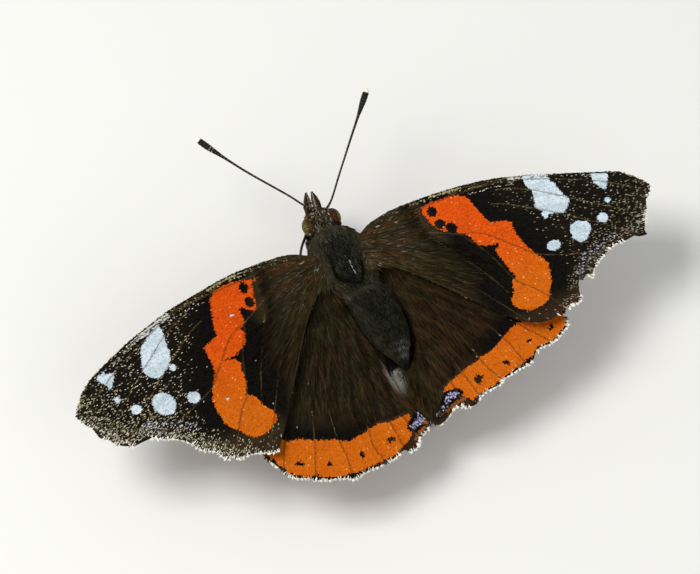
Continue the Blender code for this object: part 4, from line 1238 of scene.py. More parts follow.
class WingMembranes(bpy.types.Operator):
    """Makes the four wing membranes with their raised veins"""

    bl_idname = "butterfly.wing_membranes"
    bl_label = "Wing Membranes"

    def execute(self, context):
        props = context.scene.butterfly_wings
        rng = np.random.default_rng(SEEDS["membranes"])
        materials = [wing_scale_material(underside) for underside in (False, True)]
        for wing in all_wings():
            mesh, places = membrane_mesh(wing, props.thickness)
            values = markings(wing, places, rng)
            values.update(grain=np.full(len(places), 0.3), fleck=np.ones(len(places)))
            store(mesh, {key: np.tile(numbers, 2) for key, numbers in values.items()})
            for material in materials:
                mesh.materials.append(material)
            for face in mesh.polygons:
                face.material_index = int(min(face.vertices) >= len(places))
            show(wing.name + "_membrane", mesh, nodes=(wing.name,))
        return {"FINISHED"}


def patch_of(places):
    """Where roots lie on the flat unwrap of a wing."""
    return flat((places + (5.0, 3.0)) / 36.0)


class WingScales(bpy.types.Operator):
    """Lays the scales in overlapping rows on both faces of the wings"""

    bl_idname = "butterfly.wing_scales"
    bl_label = "Wing Scales"

    def execute(self, context):
        props = context.scene.butterfly_wings
        rng = np.random.default_rng(SEEDS["scales"])
        plate = tuft_shape("scale_plate", ((0.0, 0.26, 0.0), (0.4, 0.52, 0.05), (0.86, 0.44, 0.03)))
        top, under = (bpy.data.materials[key] for key in SCALE_MATERIALS)
        faces = ((1, "_scales", top, 1.0), (-1, "_under_scales", under, 1.5))
        for number, wing in enumerate(all_wings()):
            for face, kind, material, coarse in faces:
                places = wing.rows(props.row_gap * coarse, props.scale_gap * coarse, rng)
                places = places[distance_to_line(places, wing.margin) > props.fringe * 0.55]
                lift = face * (props.thickness / 2 + 0.012)
                here, normal, along = wing.surface(places, lift, wing.growth(places))
                count = len(places)
                roots = markings(wing, places, rng)
                plain = (roots["orange"] < 0) & (roots["white"] < 0)
                dusted = plain & (roots["fleck"] < roots["dust"]) & (roots["dust"] < 1)
                narrow = np.where(dusted, 0.6, 1.0)
                size = sizes(props.scale_gap * coarse * rng.uniform(1.05, 1.35, count) * narrow,
                             props.row_gap * coarse * rng.uniform(1.45, 1.8, count),
                             props.scale_gap)
                roots.update(place=here, up=normal * face, lie=along, size=size,
                             root_patch=patch_of(places))
                show_coat(wing.name + kind, roots, plate, material,
                          PLANT_SEEDS["scales"] + number, lift=0.09, spread=0.1, roll=0.12,
                          lift_variation=0.04)
        bpy.data.objects.remove(plate)
        return {"FINISHED"}


class WingFringes(bpy.types.Operator):
    """Adds the fringe of long scales on the outer margins"""

    bl_idname = "butterfly.wing_fringes"
    bl_label = "Wing Fringes"

    def execute(self, context):
        props = context.scene.butterfly_wings
        rng = np.random.default_rng(SEEDS["fringes"])
        blade = tuft_shape("fringe_blade", ((0.0, 0.35, 0.0), (0.5, 0.5, 0.02), (0.9, 0.36, 0.0)))
        material = fringe_material()
        for number, wing in enumerate(all_wings()):
            line = smooth_line(wing.margin, 0.06)
            step = np.gradient(line, axis=0)
            out = unit(np.column_stack([step[:, 1], -step[:, 0]]))
            out = np.where(signed_distance(line + out * 0.05, wing.outline)[:, None] > 0, -out, out)
            out = unit(out * 0.75 + wing.growth(line) * 0.45)
            ends = np.min([np.hypot(*(line - end).T) for end in wing.vein_ends], axis=0)
            arc = np.cumsum(np.hypot(*step.T))
            tooth = 0.5 + 0.5 * np.cos(math.tau * arc / 0.46 + np.sin(arc * 1.3))
            worn = np.max([fall(np.hypot(*(line - (a, b)).T), radius * 0.7, radius * 1.1)
                           for a, b, radius in FRINGE_GAPS[wing.name]], axis=0)
            layers = []
            for layer in range(FRINGE_LAYERS):
                inset = props.fringe * (0.72 + 0.1 * layer)
                places = line - out * inset + rng.normal(0, 0.02, line.shape)
                dark = (ends + rng.normal(0, 0.1, len(line)) < 0.3).astype(float)
                dark = np.maximum(dark, rng.random(len(line)) < 0.5 * (1 - tooth) ** 3)
                dark = np.maximum(dark, rng.random(len(line)) < worn)
                length = props.fringe * rng.uniform(0.8, 1.15, len(line)) * (0.85 + 0.35 * tooth)
                length *= 1 - 0.35 * worn
                keep = rng.random(len(line)) > 0.6 * worn
                layers.append((places[keep], out[keep], dark[keep], length[keep]))
            places, away, dark, length = (np.concatenate(part) for part in zip(*layers))
            here, normal, along = wing.surface(places, props.thickness / 2, away)
            here -= normal * rng.uniform(0, props.thickness, len(here))[:, None]
            roots = {
                "place": here, "up": normal, "lie": along, "root_patch": patch_of(places),
                "size": sizes(rng.uniform(0.07, 0.12, len(here)), length, 0.1),
                "dark": dark, "grain": rng.random(len(here)),
            }
            show_coat(wing.name + "_fringe", roots, blade, material,
                      PLANT_SEEDS["fringes"] + number, lift=0.0, spread=0.16, roll=0.5,
                      lift_variation=0.1)
        bpy.data.objects.remove(blade)
        return {"FINISHED"}


class WingHair(bpy.types.Operator):
    """Adds the long hair that lies over the wing bases"""

    bl_idname = "butterfly.wing_hair"
    bl_label = "Wing Hair"

    def execute(self, context):
        props = context.scene.butterfly_wings
        rng = np.random.default_rng(SEEDS["wing hair"])
        hair = tuft_shape("wing_hair", ((0.0, 0.5, 0.0), (0.5, 0.4, 0.25)), sides=3)
        material = hair_material("wing hair", "#231C11", "#544A30", "#663A1A", "#DADACA")
        for number, wing in enumerate(all_wings()):
            low, high = wing.outline.min(axis=0), wing.outline.max(axis=0)
            places = rng.uniform(low, high, (WING_HAIR_TRIES, 2))
            places = places[signed_distance(places, wing.outline) > 0.1]
            front = -signed_distance(places, np.array(BANDS[wing.name]))
            wide = 13.0 if wing.is_forewing else 14.5
            reach = np.hypot(*places.T)
            fade = fall(reach, wide * 0.3, wide)
            edge = fall(signed_distance(places, wing.solid_outline), 0.0, 1.2)
            share = (0.2 + 0.5 * fade) * (reach < wide)
            near_fold = np.zeros(len(places), bool)
            if not wing.is_forewing:
                share += 0.5 * edge * (reach < 16.5)
                lilac = signed_distance(places, np.array(LILAC_SHAPES[wing.name]))
                near_fold = (places[:, 0] < 2.6) & (lilac < -0.5)
                near_fold &= distance_to_line(places, wing.margin) > 0.9
                share = np.maximum(share, 0.45 * near_fold)
            keep = (front > np.where(near_fold, 0.5, 1.4)) & (rng.random(len(places)) < share)
            keep &= places[:, 0] < 11.0
            places, front, reach = places[keep], front[keep], reach[keep]
            shaded = 0.85 * fall(front, 1.2, 3.6) * rise(places[:, 0], -1.0, 4.0)
            here, normal, along = wing.surface(
                places, props.thickness / 2 + 0.03, wing.growth(places))
            count = len(places)
            turn = sweep(places)
            combed = 0.5 + 0.5 * np.sin(turn * 95.0) * np.sin(turn * 41.0 + 1.0)
            silver, rust, lit = np.zeros(count), np.full(count, 0.05), np.full(count, 0.1)
            if not wing.is_forewing:
                # The silky patch's hair is pale, partly its own colour and partly a painted sheen.
                silver = rise(spot_distance(places, SILKY_PATCHES[wing.name]), -0.5, 0.8)
            if wing.name == "hindwing_left":
                # Its inner edge is tinged with rust.
                inner = fall(distance_to_line(places, np.array(INNER[wing.name])), 0.3, 0.8)
                rust = np.maximum(rust, 0.6 * inner * rise(places[:, 1], 9.0, 11.5))
            if wing.name == "hindwing_right":
                rust[:] = 0.14
                lit += 0.12 * fall(places[:, 0], 0.5, 3.0)
                shaded = np.maximum(shaded, 0.42 * rise(places[:, 0], 2.0, 5.0))
                # Painted shadow darkens the hair in the gap along the abdomen's right side.
                sections, behind = body_sections(0.0, 0.3), here[:, 1] - SHIFT[1]
                middle, half = (np.interp(behind, sections[:, 0], sections[:, i]) for i in (1, 3))
                gap = np.abs(here[:, 0] - middle) - half
                shaded = np.maximum(shaded, 0.95 * fall(gap, 0.2, 0.9) * (behind < 9.3))
            # Painted shade darkens the hair along the hindwing creases.
            for line, half, share in HINDWING_CREASE_SHADE.get(wing.name, ()):
                shaded = np.maximum(shaded, near_line(places, line, half) * share)
            if wing.is_forewing:
                lit = 0.32 * fall(reach, 4.0, 12.0)
                silver = 0.4 * (rng.random(count) < 0.14) * fall(reach, 5.0, 9.0)
                for spot in PALE_TUFTS[wing.name]:
                    silver = np.where(np.hypot(*(places - spot).T) < 0.16, 2.5, silver)
                for line, half, share in FOREWING_RUST:
                    rust = np.maximum(rust, near_line(places, line, half * 1.3) * share)
            dimmest = 0.2 if wing.is_forewing else 0.75
            length = rng.uniform(0.9, 2.0, count)
            if wing.is_forewing:
                length[silver > 0.05] *= 0.35
            length *= 1 - 0.7 * fall(distance_to_line(places, wing.costa), 0.1, 1.2)
            length = np.minimum(length, np.maximum(0.35, 0.85 * front))
            if not wing.is_forewing:
                length = np.minimum(length, 0.9 * distance_to_line(places, wing.margin))
            roots = {
                "place": here, "up": normal, "lie": along, "root_patch": patch_of(places),
                "size": sizes(
                    rng.uniform(0.04, 0.065, count), length, rng.uniform(0.05, 0.12, count)),
                "grain": 0.3 * rng.random(count) + 0.7 * combed * rng.random(count) + lit,
                "paint": np.minimum(silver * rng.uniform(dimmest, 1.0, count), 1),
                "side": (rng.random(count) < rust) * rng.uniform(0.3, 1.0, count),
                "shade": np.maximum(shaded, 0.35 * rng.random(count)),
            }
            show_coat(wing.name + "_hair", roots, hair, material,
                      PLANT_SEEDS["wing hair"] + number, lift=0.015, spread=0.1,
                      lift_variation=0.02)
        bpy.data.objects.remove(hair)
        return {"FINISHED"}


def body_sections(inset, step):
    """Rings of the body: y, centre x, centre z, half width and half height."""
    sections = smooth_line(np.array(BODY_STATIONS), step)
    sections[:, 3:] = np.maximum(sections[:, 3:] - inset, 0.06)
    return sections


def body_surface(along, angle, inset):
    """Places, normals and backward directions on the body, at a y and an angle from +X."""
    sections = body_sections(inset, 0.2)

    def at(y, turn):
        x, z, wide, tall = (np.interp(y, sections[:, 0], sections[:, i]) for i in range(1, 5))
        return np.column_stack([x + wide * np.cos(turn), y, z + tall * np.sin(turn)]) + SHIFT

    here = at(along, angle)
    back = at(along + 0.05, angle) - here
    return here, unit(np.cross(back, at(along, angle + 0.02) - here)), unit(back)


def abdomen_groove(y, width):
    """1 in the grooves between the seven abdomen rings, falling to 0 beside them."""
    return np.exp(-(((y - THORAX_END) % ABDOMEN_RING - 0.1) / width) ** 2)


def hair_directions(normal, back, lift):
    """The up and lie of hair that is raised from the skin by an angle."""
    rising, level = np.sin(lift)[:, None], np.cos(lift)[:, None]
    return {"up": normal * level - back * rising, "lie": back * level + normal * rising}


class BodySkin(bpy.types.Operator):
    """Makes one skin for the head, thorax and abdomen"""

    bl_idname = "butterfly.body_skin"
    bl_label = "Body Skin"

    def execute(self, context):
        sections = body_sections(context.scene.butterfly_hair.coat_depth, 0.16)
        sides = BODY_SIDES
        angles = np.arange(sides) * math.tau / sides
        rings = []
        for y, x, z, wide, tall in sections:
            # Grooves part the thorax plates and the abdomen rings.
            groove = 0.0
            if y > THORAX_END:
                groove = 0.05 * abdomen_groove(y, 0.1)
            elif y > HEAD_END:
                groove = sum(depth * math.exp(-((y - middle) / 0.12) ** 2)
                             for middle, depth in THORAX_GROOVES)
            ring = np.column_stack([x + (wide - groove) * np.cos(angles), np.full(sides, y),
                                    z + (tall - groove) * np.sin(angles)])
            rings.append(ring + SHIFT)
        points = np.vstack([*rings, rings[0].mean(axis=0), rings[-1].mean(axis=0)])
        faces = ring_faces(len(rings), sides) + end_faces(len(rings), sides)
        mesh = make_mesh("body_skin", points, faces)
        material, tree, surface = new_material("dark body cuticle", Specular_IOR_Level=0.12)
        place = object_place(tree)
        along = add(tree, "ShaderNodeSeparateXYZ", [(0, place)]).outputs[1]
        # The abdomen is duller than the thorax.
        dull = step_at(tree, along, *((y + float(SHIFT[1])) * MM for y in (0.3, 1.6)))
        tree.links.new(compute(tree, "MULTIPLY_ADD", dull, 0.4, 0.35), surface.inputs["Roughness"])
        spots = noise(tree, place, 3500.0, 3.0)
        tree.links.new(mix(tree, spots, "#070705", "#1E1C15"), surface.inputs["Base Color"])
        bump = add(tree, "ShaderNodeBump",
                   [("Height", spots), ("Strength", 0.5), ("Distance", 0.00004)])
        tree.links.new(bump.outputs[0], surface.inputs["Normal"])
        show("body_skin", mesh, material, nodes=("head", "thorax", "abdomen"))
        return {"FINISHED"}


def head_hair_look(rng, count, side_limit, shade_limit):
    """Colour values of the brows and the beard."""
    return {
        "grain": rng.random(count), "side": rng.uniform(0.1, side_limit, count),
        "paint": (rng.random(count) < 0.1) * rng.uniform(0.2, 0.9, count),
        "shade": rng.uniform(0, shade_limit, count),
    }


def picked(path, count, rng):
    """Random picks on a path, and the path's directions there."""
    picks = rng.integers(1, len(path) - 1, count)
    return picks, unit(path[picks + 1, :3] - path[picks - 1, :3])


def stratified(rng, count, low, high):
    """Even random draws between two limits."""
    return low + (high - low) * (np.arange(count) + rng.random(count)) / count


class BodyHair(bpy.types.Operator):
    """Adds the hair of the head, thorax and abdomen"""

    bl_idname = "butterfly.body_hair"
    bl_label = "Body Hair"

    def execute(self, context):
        props = context.scene.butterfly_hair
        rng = np.random.default_rng(SEEDS["body hair"])
        hair = tuft_shape("body_hair", ((0.0, 0.5, 0.0), (0.55, 0.36, 0.0)), sides=3, bend=-0.2)
        body = hair_material("body hair", props.base, props.tip, "#524A36", "#B4B0B4")
        head = hair_material("head hair", "#1B1811", "#4E4836", "#564028", "#CFCBB4")
        # Each region: name, material, count, y from and to, length, width, inset and spread.
        regions = (
            ("head_hair", head, HEAD_HAIRS, BODY_START + 0.1, HEAD_END + 0.3,
             0.5, 0.05, 0.15, 0.5),
            ("thorax_hair", body, THORAX_HAIRS, HEAD_END, THORAX_END,
             props.thorax_length, 0.055, 0.3, 0.4),
            ("abdomen_hair", body, ABDOMEN_HAIRS, THORAX_END, BODY_END - 0.2,
             props.abdomen_length, 0.06, 0.3, 0.3),
        )
        for number, region in enumerate(regions):
            name, material, count, start, stop, length, width, inset, spread = region
            along = stratified(rng, count, start, stop)
            angle = rng.permutation(stratified(rng, count, 0, math.tau))
            here, normal, back = body_surface(along, angle, inset)
            flank = rise(np.abs(np.cos(angle)), 0.55, 0.95)
            flank = np.maximum(flank, 0.8 * fall(along, -5.6, -4.2))
            flank = np.where(np.sin(angle) < -0.3, 0.4, flank)
            on_top = np.sin(angle) > 0
            shade = rng.uniform(0, 0.35, count)
            stretch = rng.uniform(0.65, 1.2, count)
            # Painted sunlight makes the hair of the thorax paler on its right side.
            painted_sunlight = 0.25 if name == "thorax_hair" else 0.0
            if name == "head_hair":
                eye = np.array([HEAD_MIDLINE, *EYE_CENTRE[1:]]) + SHIFT
                offset = np.abs(here - eye) - (EYE_CENTRE[0], 0, 0)
                keep = np.linalg.norm(offset / (np.array(EYE_RADII) * EYE_ROOTS), axis=1) >= 1
                paint = (rng.random(count) < 0.13) * rng.uniform(0.4, 1.0, count)
                stretch *= 1 - 0.3 * rise(along, -7.2, -6.3)
                flank = rng.random(count)
                lift = rng.uniform(0.15, 0.7, count) * (1 - 0.6 * rise(along, -7.0, -6.3))
            elif name == "thorax_hair":
                bald = on_top * np.exp(
                    -((here[:, 0] + 0.35) / 0.75) ** 2 - ((along + 1.4) / 1.5) ** 2)
                keep = rng.random(count) > 0.5 * bald
                collar = fall(along, -5.9, -4.6)
                stretch *= (1 - 0.5 * bald) * (0.65 + 0.6 * flank)
                stretch *= 0.55 + 0.45 * rise(along, -6.1, -4.4)
                groove = distance_to_line(here[:, :2], np.array(SHIELD_GROOVE))
                dip = fall(groove, 0.08, 0.3) * on_top
                stretch *= 1 - 0.55 * dip
                # The groove's dip adds painted shade to the hair there.
                shade = np.maximum(shade, 0.4 * bald + 0.9 * dip).clip(0, 1)
                # A painted glint runs down the middle of the shield: pale hairs along its polished
                # keel, as a highlight.
                glint = distance_to_line(here[:, :2], SHIELD_GLINT) < 0.03
                fleck = rng.random(count) < 0.03 + 0.05 * flank
                paint = np.where(glint & on_top, 0.9, 0.2 * fleck)
                shade = np.where(paint > 0.5, 0.0, shade)
                lift = 0.12 + 0.27 * np.maximum(flank, 0.6 * collar)
                lift *= rng.uniform(0.3, 1.7, count)
                # A few hairs stand out and soften the outline.
                lift += 0.15 * (rng.random(count) < 0.04 * flank)
            else:
                keep = np.ones(count, bool)
                tip = rise(along, 7.2, 8.2) * fall(along, 9.3, 9.9) * (np.sin(angle) > 0.2)
                mottled = np.sin(along * 9.0 + 3 * np.sin(angle * 5)) * np.sin(angle * 11)
                paint = (0.8 * tip * (0.5 + 0.5 * mottled) * rng.uniform(0.0, 1.0, count) ** 2
                         * rise(-np.cos(angle), -0.8, 0.3))
                stretch *= 1 - 0.35 * rise(along, 7.0, 10.0)
                stretch *= 0.8 + 0.9 * flank * fall(along, 6.5, 9.0)
                blotch = np.sin(along * 2.6 + 2 * np.cos(angle * 3)) * np.sin(angle * 4 + along)
                for darker in (0.4 * abdomen_groove(along, 0.16), 0.5 * (0.5 + 0.5 * blotch) ** 2,
                               0.55 * rise(along, 9.0, 9.8)):
                    shade = np.maximum(shade, darker)
                lift = 0.1 + 0.1 * flank + 0.4 * rise(along, 9.2, 9.9)
                lift *= rng.uniform(0.3, 1.7, count)
                # Brown hair fills the waist behind the thorax.
                flank = np.maximum(0.25 * flank, 0.8 * np.exp(-((along - 1.25) / 0.4) ** 2))
            roots = {
                "place": here, **hair_directions(normal, back, lift),
                "size": sizes(width * rng.uniform(0.7, 1.2, count), length * stretch,
                              0.8 * length * stretch),
                "grain": rng.random(count) + painted_sunlight * rise(-np.cos(angle), 0.1, 0.8),
                "paint": paint, "shade": shade, "side": flank * rng.uniform(0.3, 1.0, count),
                "root_patch": flat(angle / math.tau, (along - BODY_START) / 20.0),
            }
            roots = {key: values[keep] for key, values in roots.items()}
            show_coat(name, roots, hair, material, PLANT_SEEDS["body hair"] + number,
                      lift=0.0, spread=spread, lift_variation=0.1)

        # Hair of the forehead lies over the inner halves of the eyes.
        brows = ((1, "brow_left_hair", -0.1, 0.8), (-1, "brow_right_hair", -0.45, 0.88))
        for side, name, inward, behind in brows:
            away = unit(rng.normal(0, 1, (BROW_TRIES, 3)))
            haired = (away[:, 0] * side < inward) | (away[:, 1] > behind)
            away = away[haired & (away[:, 2] > -0.5)][:BROW_HAIRS]
            middle = np.array([HEAD_MIDLINE + side * EYE_CENTRE[0], *EYE_CENTRE[1:]]) + SHIFT
            normal = unit(away / EYE_RADII)
            back = unit(np.cross(np.cross(normal, (0.45 * side, 1.0, 0.2)), normal))
            lift = rng.uniform(0.15, 0.9, len(away))
            length = rng.uniform(0.25, 0.5, len(away))
            roots = {
                "place": middle + away * EYE_RADII * EYE_ROOTS,
                **hair_directions(normal, back, lift), "size": sizes(0.05, length, 0.8 * length),
                **head_hair_look(rng, len(away), 0.8, 0.35),
                "root_patch": flat(away[:, :2] * 0.05 + (0.5 + 0.2 * side, 0.95)),
            }
            show_coat(name, roots, hair, head, PLANT_SEEDS["brows"] + side,
                      lift=0.0, spread=0.5, lift_variation=0.1)

        # The beard between the palps points forward and hides the root of the proboscis.
        x, z = rng.uniform((-0.75, 6.9), (0.45, 8.3), (BEARD_HAIRS, 2)).T
        here = np.column_stack([x, BODY_START + 0.25 + 0.3 * np.abs(x + 0.15), z]) + SHIFT
        lie = np.column_stack([-0.25 * (x + 0.3), np.full(len(x), -1.0), 0.35 * (7.6 - z)])
        lie = unit(lie + rng.normal(0, 0.1, lie.shape))
        length = rng.uniform(0.5, 1.3, len(x))
        roots = {
            "place": here, "up": unit(np.cross(lie, (1.0, 0.0, 0.0))), "lie": lie,
            "size": sizes(0.05, length, 0.3 * length), **head_hair_look(rng, len(x), 0.9, 0.5),
            "root_patch": flat(x * 0.03 + 0.2, z * 0.03 + 0.7),
        }
        show_coat("beard_hair", roots, hair, head, PLANT_SEEDS["beard"], lift=0.0,
                  spread=0.1, lift_variation=0.1)
        bpy.data.objects.remove(hair)
        return {"FINISHED"}


def tube(name, route, material, step, joint_length=1.0, joint_depth=0.0, sides=14):
    """A tube along a route of (x, y, z, radius), made by the node tree."""
    path = smooth_line(np.array(route), step)
    mesh = bpy.data.meshes.new(name + "_route")
    edges = [(i, i + 1) for i in range(len(path) - 1)]
    mesh.from_pydata(((path[:, :3] + SHIFT) * MM).tolist(), edges, [])
    store(mesh, {"girth": path[:, 3] * MM})
    return grown(name, mesh, group_named(TUBE, tube_tree), {
        "Step": step * MM, "Joint Length": joint_length * MM, "Joint Depth": joint_depth,
        "Sides": sides, "Material": material,
    })


def eye_material():
    """A compound eye: clear chitin facets over brown pigment, with a pale outer rim.

    The facets are drawn coarser than life.
    """
    props = bpy.context.scene.butterfly_head
    material, tree, surface = new_material(
        "compound eye", Roughness=0.45, Coat_Weight=0.02, Coat_Roughness=0.2,
        Specular_IOR_Level=0.08)
    place = object_place(tree)
    cells = add(tree, "ShaderNodeTexVoronoi", [("Vector", place), ("Scale", 1000 / props.facet)],
                feature="F1").outputs["Distance"]
    blotch = noise(tree, place, 3200.0, 2.0)
    colour = mix(tree, step_at(tree, blotch, 0.42, 0.6), props.eye, "#8A4A18")
    rim = step_at(tree, attribute(tree, "outer"), 0.35, 0.75)
    colour = mix(tree, rim, colour, props.eye_rim)
    colour = mix(tree, step_at(tree, cells, 0.25, 0.6), colour, "#1E1408")
    tree.links.new(colour, surface.inputs["Base Color"])
    bump = add(tree, "ShaderNodeBump",
               [("Height", cells), ("Strength", 0.6), ("Distance", 0.00003)], invert=True)
    tree.links.new(bump.outputs[0], surface.inputs["Normal"])
    return material


class Eyes(bpy.types.Operator):
    """Makes the two compound eyes"""

    bl_idname = "butterfly.eyes"
    bl_label = "Eyes"

    def execute(self, context):
        material = eye_material()
        sides, rings = EYE_SIDES, EYE_BANDS - 1
        # Each quad starts one corner on, which sets where it is cut into triangles.
        faces = [(b, c, d, a) for a, b, c, d in ring_faces(rings, sides)] + end_faces(rings, sides)
        for name, side in (("eye_left", 1), ("eye_right", -1)):
            points = []
            for tilt in math.pi * np.arange(1, EYE_BANDS) / EYE_BANDS:
                for turn in np.arange(sides) * math.tau / sides:
                    x = EYE_RADII[0] * math.sin(tilt) * math.cos(turn)
                    x = max(side * x, EYE_BACK - EYE_CENTRE[0])
                    points.append((
                        HEAD_MIDLINE + side * (EYE_CENTRE[0] + x),
                        EYE_CENTRE[1] - EYE_RADII[1] * math.cos(tilt),
                        EYE_CENTRE[2] + EYE_RADII[2] * math.sin(tilt) * math.sin(turn),
                    ))
            points = np.array(points) + SHIFT
            front = points[:sides].mean(axis=0) - (0, 0.02, 0)
            back = points[-sides:].mean(axis=0) + (0, 0.02, 0)
            points = np.vstack([points, front, back])
            mesh = make_mesh(name, points, faces)
            reach = (points[:, 0] - HEAD_MIDLINE) * side - EYE_CENTRE[0]
            store(mesh, {"outer": reach / EYE_RADII[0]})
            show(name + "_facets", mesh, material, nodes=(name,))
        return {"FINISHED"}


def feeler_material():
    """Antenna cuticle: dark chitin with a ring of pale scales on each joint, and a pale tip."""
    joint = bpy.context.scene.butterfly_head.joint * MM
    material, tree, surface = new_material(
        "antenna cuticle", Roughness=0.6, Specular_IOR_Level=0.15)
    along = attribute(tree, "along")
    place = object_place(tree)
    spots = noise(tree, place, 9000.0, 1.0)
    ring = compute(tree, "FRACT", compute(tree, "DIVIDE", along, joint))
    pale = times(tree, step_at(tree, ring, 0.35, 0.15), step_at(tree, spots, 0.42, 0.58))
    shaft = step_at(tree, attribute(tree, "club"), 0.5, 0.2)
    neck = step_at(tree, attribute(tree, "neck"), 0.3, 0.8)
    amount = compute(tree, "MAXIMUM", compute(tree, "MULTIPLY_ADD", shaft, 0.32, 0.1), neck)
    colour = mix(tree, times(tree, pale, amount), "#120E0A", "#B8B2A2")
    colour = mix(tree, step_at(tree, attribute(tree, "tip"), 0.3, 0.7), colour, "#F2EEDC")
    tree.links.new(colour, surface.inputs["Base Color"])
    return material


class Feelers(bpy.types.Operator):
    """Makes the antennae, the palps and the proboscis"""

    bl_idname = "butterfly.feelers"
    bl_label = "Feelers"

    def execute(self, context):
        joint = context.scene.butterfly_head.joint
        rng = np.random.default_rng(SEEDS["feelers"])
        ringed = feeler_material()
        for name, route in ANTENNAE.items():
            mesh = tube(name, route, ringed, 0.085, joint_length=joint, joint_depth=0.16)
            along = np.empty(len(mesh.vertices), np.float32)
            mesh.attributes["along"].data.foreach_get("value", along)
            part = along / along.max()
            store(mesh, {"club": rise(part, 0.74, 0.86), "tip": rise(part, 0.95, 0.98),
                         "neck": np.exp(-((part - 0.86) / 0.035) ** 2) * (name == "antenna_left")})
            show(name + "_joints", mesh, nodes=(name,))
        # The proboscis is smooth black chitin, a little browner where it is thin.
        glossy = cuticle("glossy proboscis", "#080706", "#1C120B", 5000.0, Roughness=0.3)
        mesh = tube("proboscis", PROBOSCIS, glossy, 0.05, joint_length=0.1, joint_depth=0.05)
        show("proboscis_tube", mesh, nodes=("proboscis",))
        skin = cuticle("palp cuticle", "#1E180E", "#3C3220", 7000.0, Roughness=0.6)
        hair = tuft_shape("palp_hair", ((0.0, 0.5, 0.0), (0.55, 0.4, 0.1)), sides=3, bend=-0.1)
        coat = hair_material("palp hair", "#2A2012", "#7A6644", "#74441E", "#E6E0CC")
        for number, (name, route) in enumerate(PALPS.items()):
            inner = 0.45 if name == "palp_left" else -0.45
            show(name + "_core", tube(name, route, skin, 0.08), nodes=(name,))
            path, count = smooth_line(np.array(route), 0.05), PALP_HAIRS
            picks, axis = picked(path, count, rng)
            beside = unit(np.cross(axis, (0, 0, 1.0)))
            above = np.cross(beside, axis)
            turn = rng.uniform(0, math.tau, count)
            normal = beside * np.cos(turn)[:, None] + above * np.sin(turn)[:, None]
            here = path[picks, :3] + normal * path[picks, 3:4] * 0.9 + SHIFT
            # A pale stripe runs along each palp's inner side, with a dark line beside it.
            striped = np.exp(-((np.cos(turn) - inner) / 0.3) ** 2) * (np.sin(turn) > 0)
            lined = np.exp(-((np.cos(turn) + 0.5 * inner) / 0.16) ** 2) * (np.sin(turn) > 0)
            length = rng.uniform(0.3, 0.5, count) * (1 - 0.72 * rise(picks / len(path), 0.4, 1.0))
            roots = {
                "place": here, "up": normal, "lie": axis,
                "size": sizes(0.045, length, 0.08), "grain": rng.random(count),
                "paint": (rng.random(count) < striped * 0.6) * rng.uniform(0.4, 1.0, count),
                "side": (rng.random(count) < 0.4) * rng.random(count),
                "shade": np.maximum(0.4 * rng.random(count), 0.8 * lined),
                "root_patch": flat(turn / math.tau, picks / len(path)),
            }
            show_coat(name + "_hair", roots, hair, coat, PLANT_SEEDS["palps"] + number,
                      lift=0.2, spread=0.2, lift_variation=0.12)
        bpy.data.objects.remove(hair)
        return {"FINISHED"}


class Legs(bpy.types.Operator):
    """Makes the six legs"""

    bl_idname = "butterfly.legs"
    bl_label = "Legs"

    def execute(self, context):
        material = cuticle("leg cuticle", "#1B150E", "#6B5A3E", 6000.0, Roughness=0.45)
        rng = np.random.default_rng(SEEDS["legs"])
        hair = tuft_shape("leg_hair", ((0.0, 0.5, 0.0), (0.5, 0.35, 0.05)), sides=3, bend=-0.1)
        coat = hair_material("leg hair", "#1B150E", "#5A4A32", "#5A4A32", "#A09880")
        for leg, route in LEGS.items():
            for side in (1, -1):
                name = f"{leg}_{'left' if side > 0 else 'right'}"
                points = np.array(route)
                if side < 0:
                    points[:, 0] = 2 * LEG_MIDLINE - points[:, 0]
                mesh = tube(name, points, material, 0.12, joint_length=0.55, joint_depth=0.12)
                show(name + "_skin", mesh, nodes=(name,))
                # The forelegs are brushes of longer hair.
                brush = leg == "foreleg"
                path, count = smooth_line(points, 0.05), FORELEG_HAIRS if brush else LEG_HAIRS
                picks, axis = picked(path, count, rng)
                normal = unit(np.cross(axis, rng.normal(0, 1, (count, 3))))
                here = path[picks, :3] + normal * path[picks, 3:4] * 0.9 + SHIFT
                off_floor = here[:, 2] > 0.3
                length = rng.uniform(*((0.45, 0.9) if brush else (0.14, 0.32)), count)
                roots = {
                    "place": here, "up": normal, "lie": axis, "size": sizes(0.035, length, 0.1),
                    "grain": rng.random(count), "paint": 0.5 * (rng.random(count) < 0.2),
                    "side": np.zeros(count), "shade": 0.4 * rng.random(count),
                    "root_patch": flat(rng.random(count), picks / len(path)),
                }
                roots = {key: values[off_floor] for key, values in roots.items()}
                show_coat(name + "_hair", roots, hair, coat, PLANT_SEEDS["legs"],
                          lift=0.3, spread=0.2)
        bpy.data.objects.remove(hair)
        return {"FINISHED"}


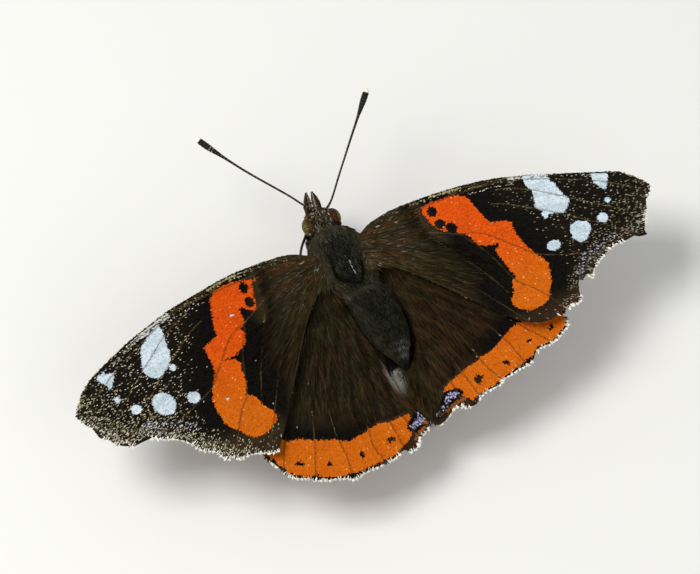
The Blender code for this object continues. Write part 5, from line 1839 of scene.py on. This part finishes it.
class Stage(bpy.types.Operator):
    """Sets the floor, the lights and the camera"""

    bl_idname = "butterfly.stage"
    bl_label = "Stage"

    def execute(self, context):
        scene = context.scene
        props = scene.butterfly_stage
        corners = np.array([(-1, -1, 0), (1, -1, 0), (1, 1, 0), (-1, 1, 0)]) * FLOOR_REACH
        sheet = make_mesh("floor", corners, [(0, 1, 2, 3)], smooth=False)
        sheet.materials.append(
            new_material("pale paper floor", Roughness=0.85, Base_Color=props.floor)[0])
        floor = bpy.data.objects.new("floor", sheet)
        scene.collection.objects.link(floor)

        turn, height = math.radians(CAMERA_TURN), math.radians(CAMERA_HEIGHT)
        ahead, top = Vector((-math.sin(turn), -math.cos(turn), 0)), Vector((0, 0, 1))
        right = ahead.cross(top)
        view = ahead * math.cos(height) - top * math.sin(height)
        up = ahead * math.sin(height) + top * math.cos(height)
        roll = math.radians(CAMERA_ROLL)
        right, up = (right * math.cos(roll) + up * math.sin(roll),
                     up * math.cos(roll) - right * math.sin(roll))
        aim = (Vector(CAMERA_AIM) + Vector(SHIFT)) * MM
        lens = bpy.data.cameras.new("camera")
        lens.sensor_width = SENSOR
        lens.lens = SENSOR * PIXELS_PER_MM * CAMERA_DISTANCE / PHOTO_WIDTH
        lens.clip_start = 0.01
        camera = bpy.data.objects.new("camera", lens)
        scene.collection.objects.link(camera)
        place = aim - view * CAMERA_DISTANCE * MM
        camera.matrix_world = Matrix((
            (right.x, up.x, -view.x, place.x), (right.y, up.y, -view.y, place.y),
            (right.z, up.z, -view.z, place.z), (0, 0, 0, 1)))
        scene.camera = camera

        # Soft boxes: name, direction seen from the butterfly, distance, width and power.
        boxes = (
            ("key_light", right * -0.45 + up * 0.35 - view * 0.9, 0.42, 0.16, props.key),
            ("fill_light", right * 0.5 - up * 0.3 - view * 1.0, 0.5, 0.4, props.fill),
        )
        for name, direction, distance, width, power in boxes:
            lamp = bpy.data.lights.new(name, "AREA")
            lamp.energy = power
            lamp.size = width
            thing = bpy.data.objects.new(name, lamp)
            scene.collection.objects.link(thing)
            direction = direction.normalized()
            thing.location = aim + direction * distance
            thing.rotation_euler = direction.to_track_quat("Z", "Y").to_euler()
        world = bpy.data.worlds.new("studio")
        world.use_nodes = True
        background = world.node_tree.nodes["Background"]
        background.inputs["Color"].default_value = linear(SKY_COLOUR)
        background.inputs["Strength"].default_value = SKY_STRENGTH
        scene.world = world
        scene.view_settings.view_transform = "Standard"
        return {"FINISHED"}


STEPS = (
    WingMembranes, WingScales, WingFringes, WingHair, BodySkin, BodyHair, Eyes, Feelers, Legs,
    Stage,
)


class ButterflyPanel(bpy.types.Panel):
    """Lists the butterfly's settings and steps"""

    bl_idname = "VIEW3D_PT_butterfly"
    bl_label = "Red Admiral"
    bl_space_type = "VIEW_3D"
    bl_region_type = "UI"
    bl_category = "Butterfly"

    def draw(self, context):
        for key, group in SETTINGS.items():
            box = self.layout.box()
            for prop in group.__annotations__:
                box.prop(getattr(context.scene, key), prop)
        for step in STEPS:
            self.layout.operator(step.bl_idname)


def register():
    """Registers the settings, the steps and the panel."""
    for cls in (*SETTINGS.values(), *STEPS, ButterflyPanel):
        bpy.utils.register_class(cls)
    for key, group in SETTINGS.items():
        setattr(bpy.types.Scene, key, bpy.props.PointerProperty(type=group))


def unregister():
    """Undoes register()."""
    for key in SETTINGS:
        delattr(bpy.types.Scene, key)
    for cls in reversed((*SETTINGS.values(), *STEPS, ButterflyPanel)):
        bpy.utils.unregister_class(cls)


def main():
    """Registers the add-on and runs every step."""
    register()
    for step in STEPS:
        getattr(bpy.ops.butterfly, step.bl_idname.split(".")[1])()


if __name__ == "__main__":
    main()
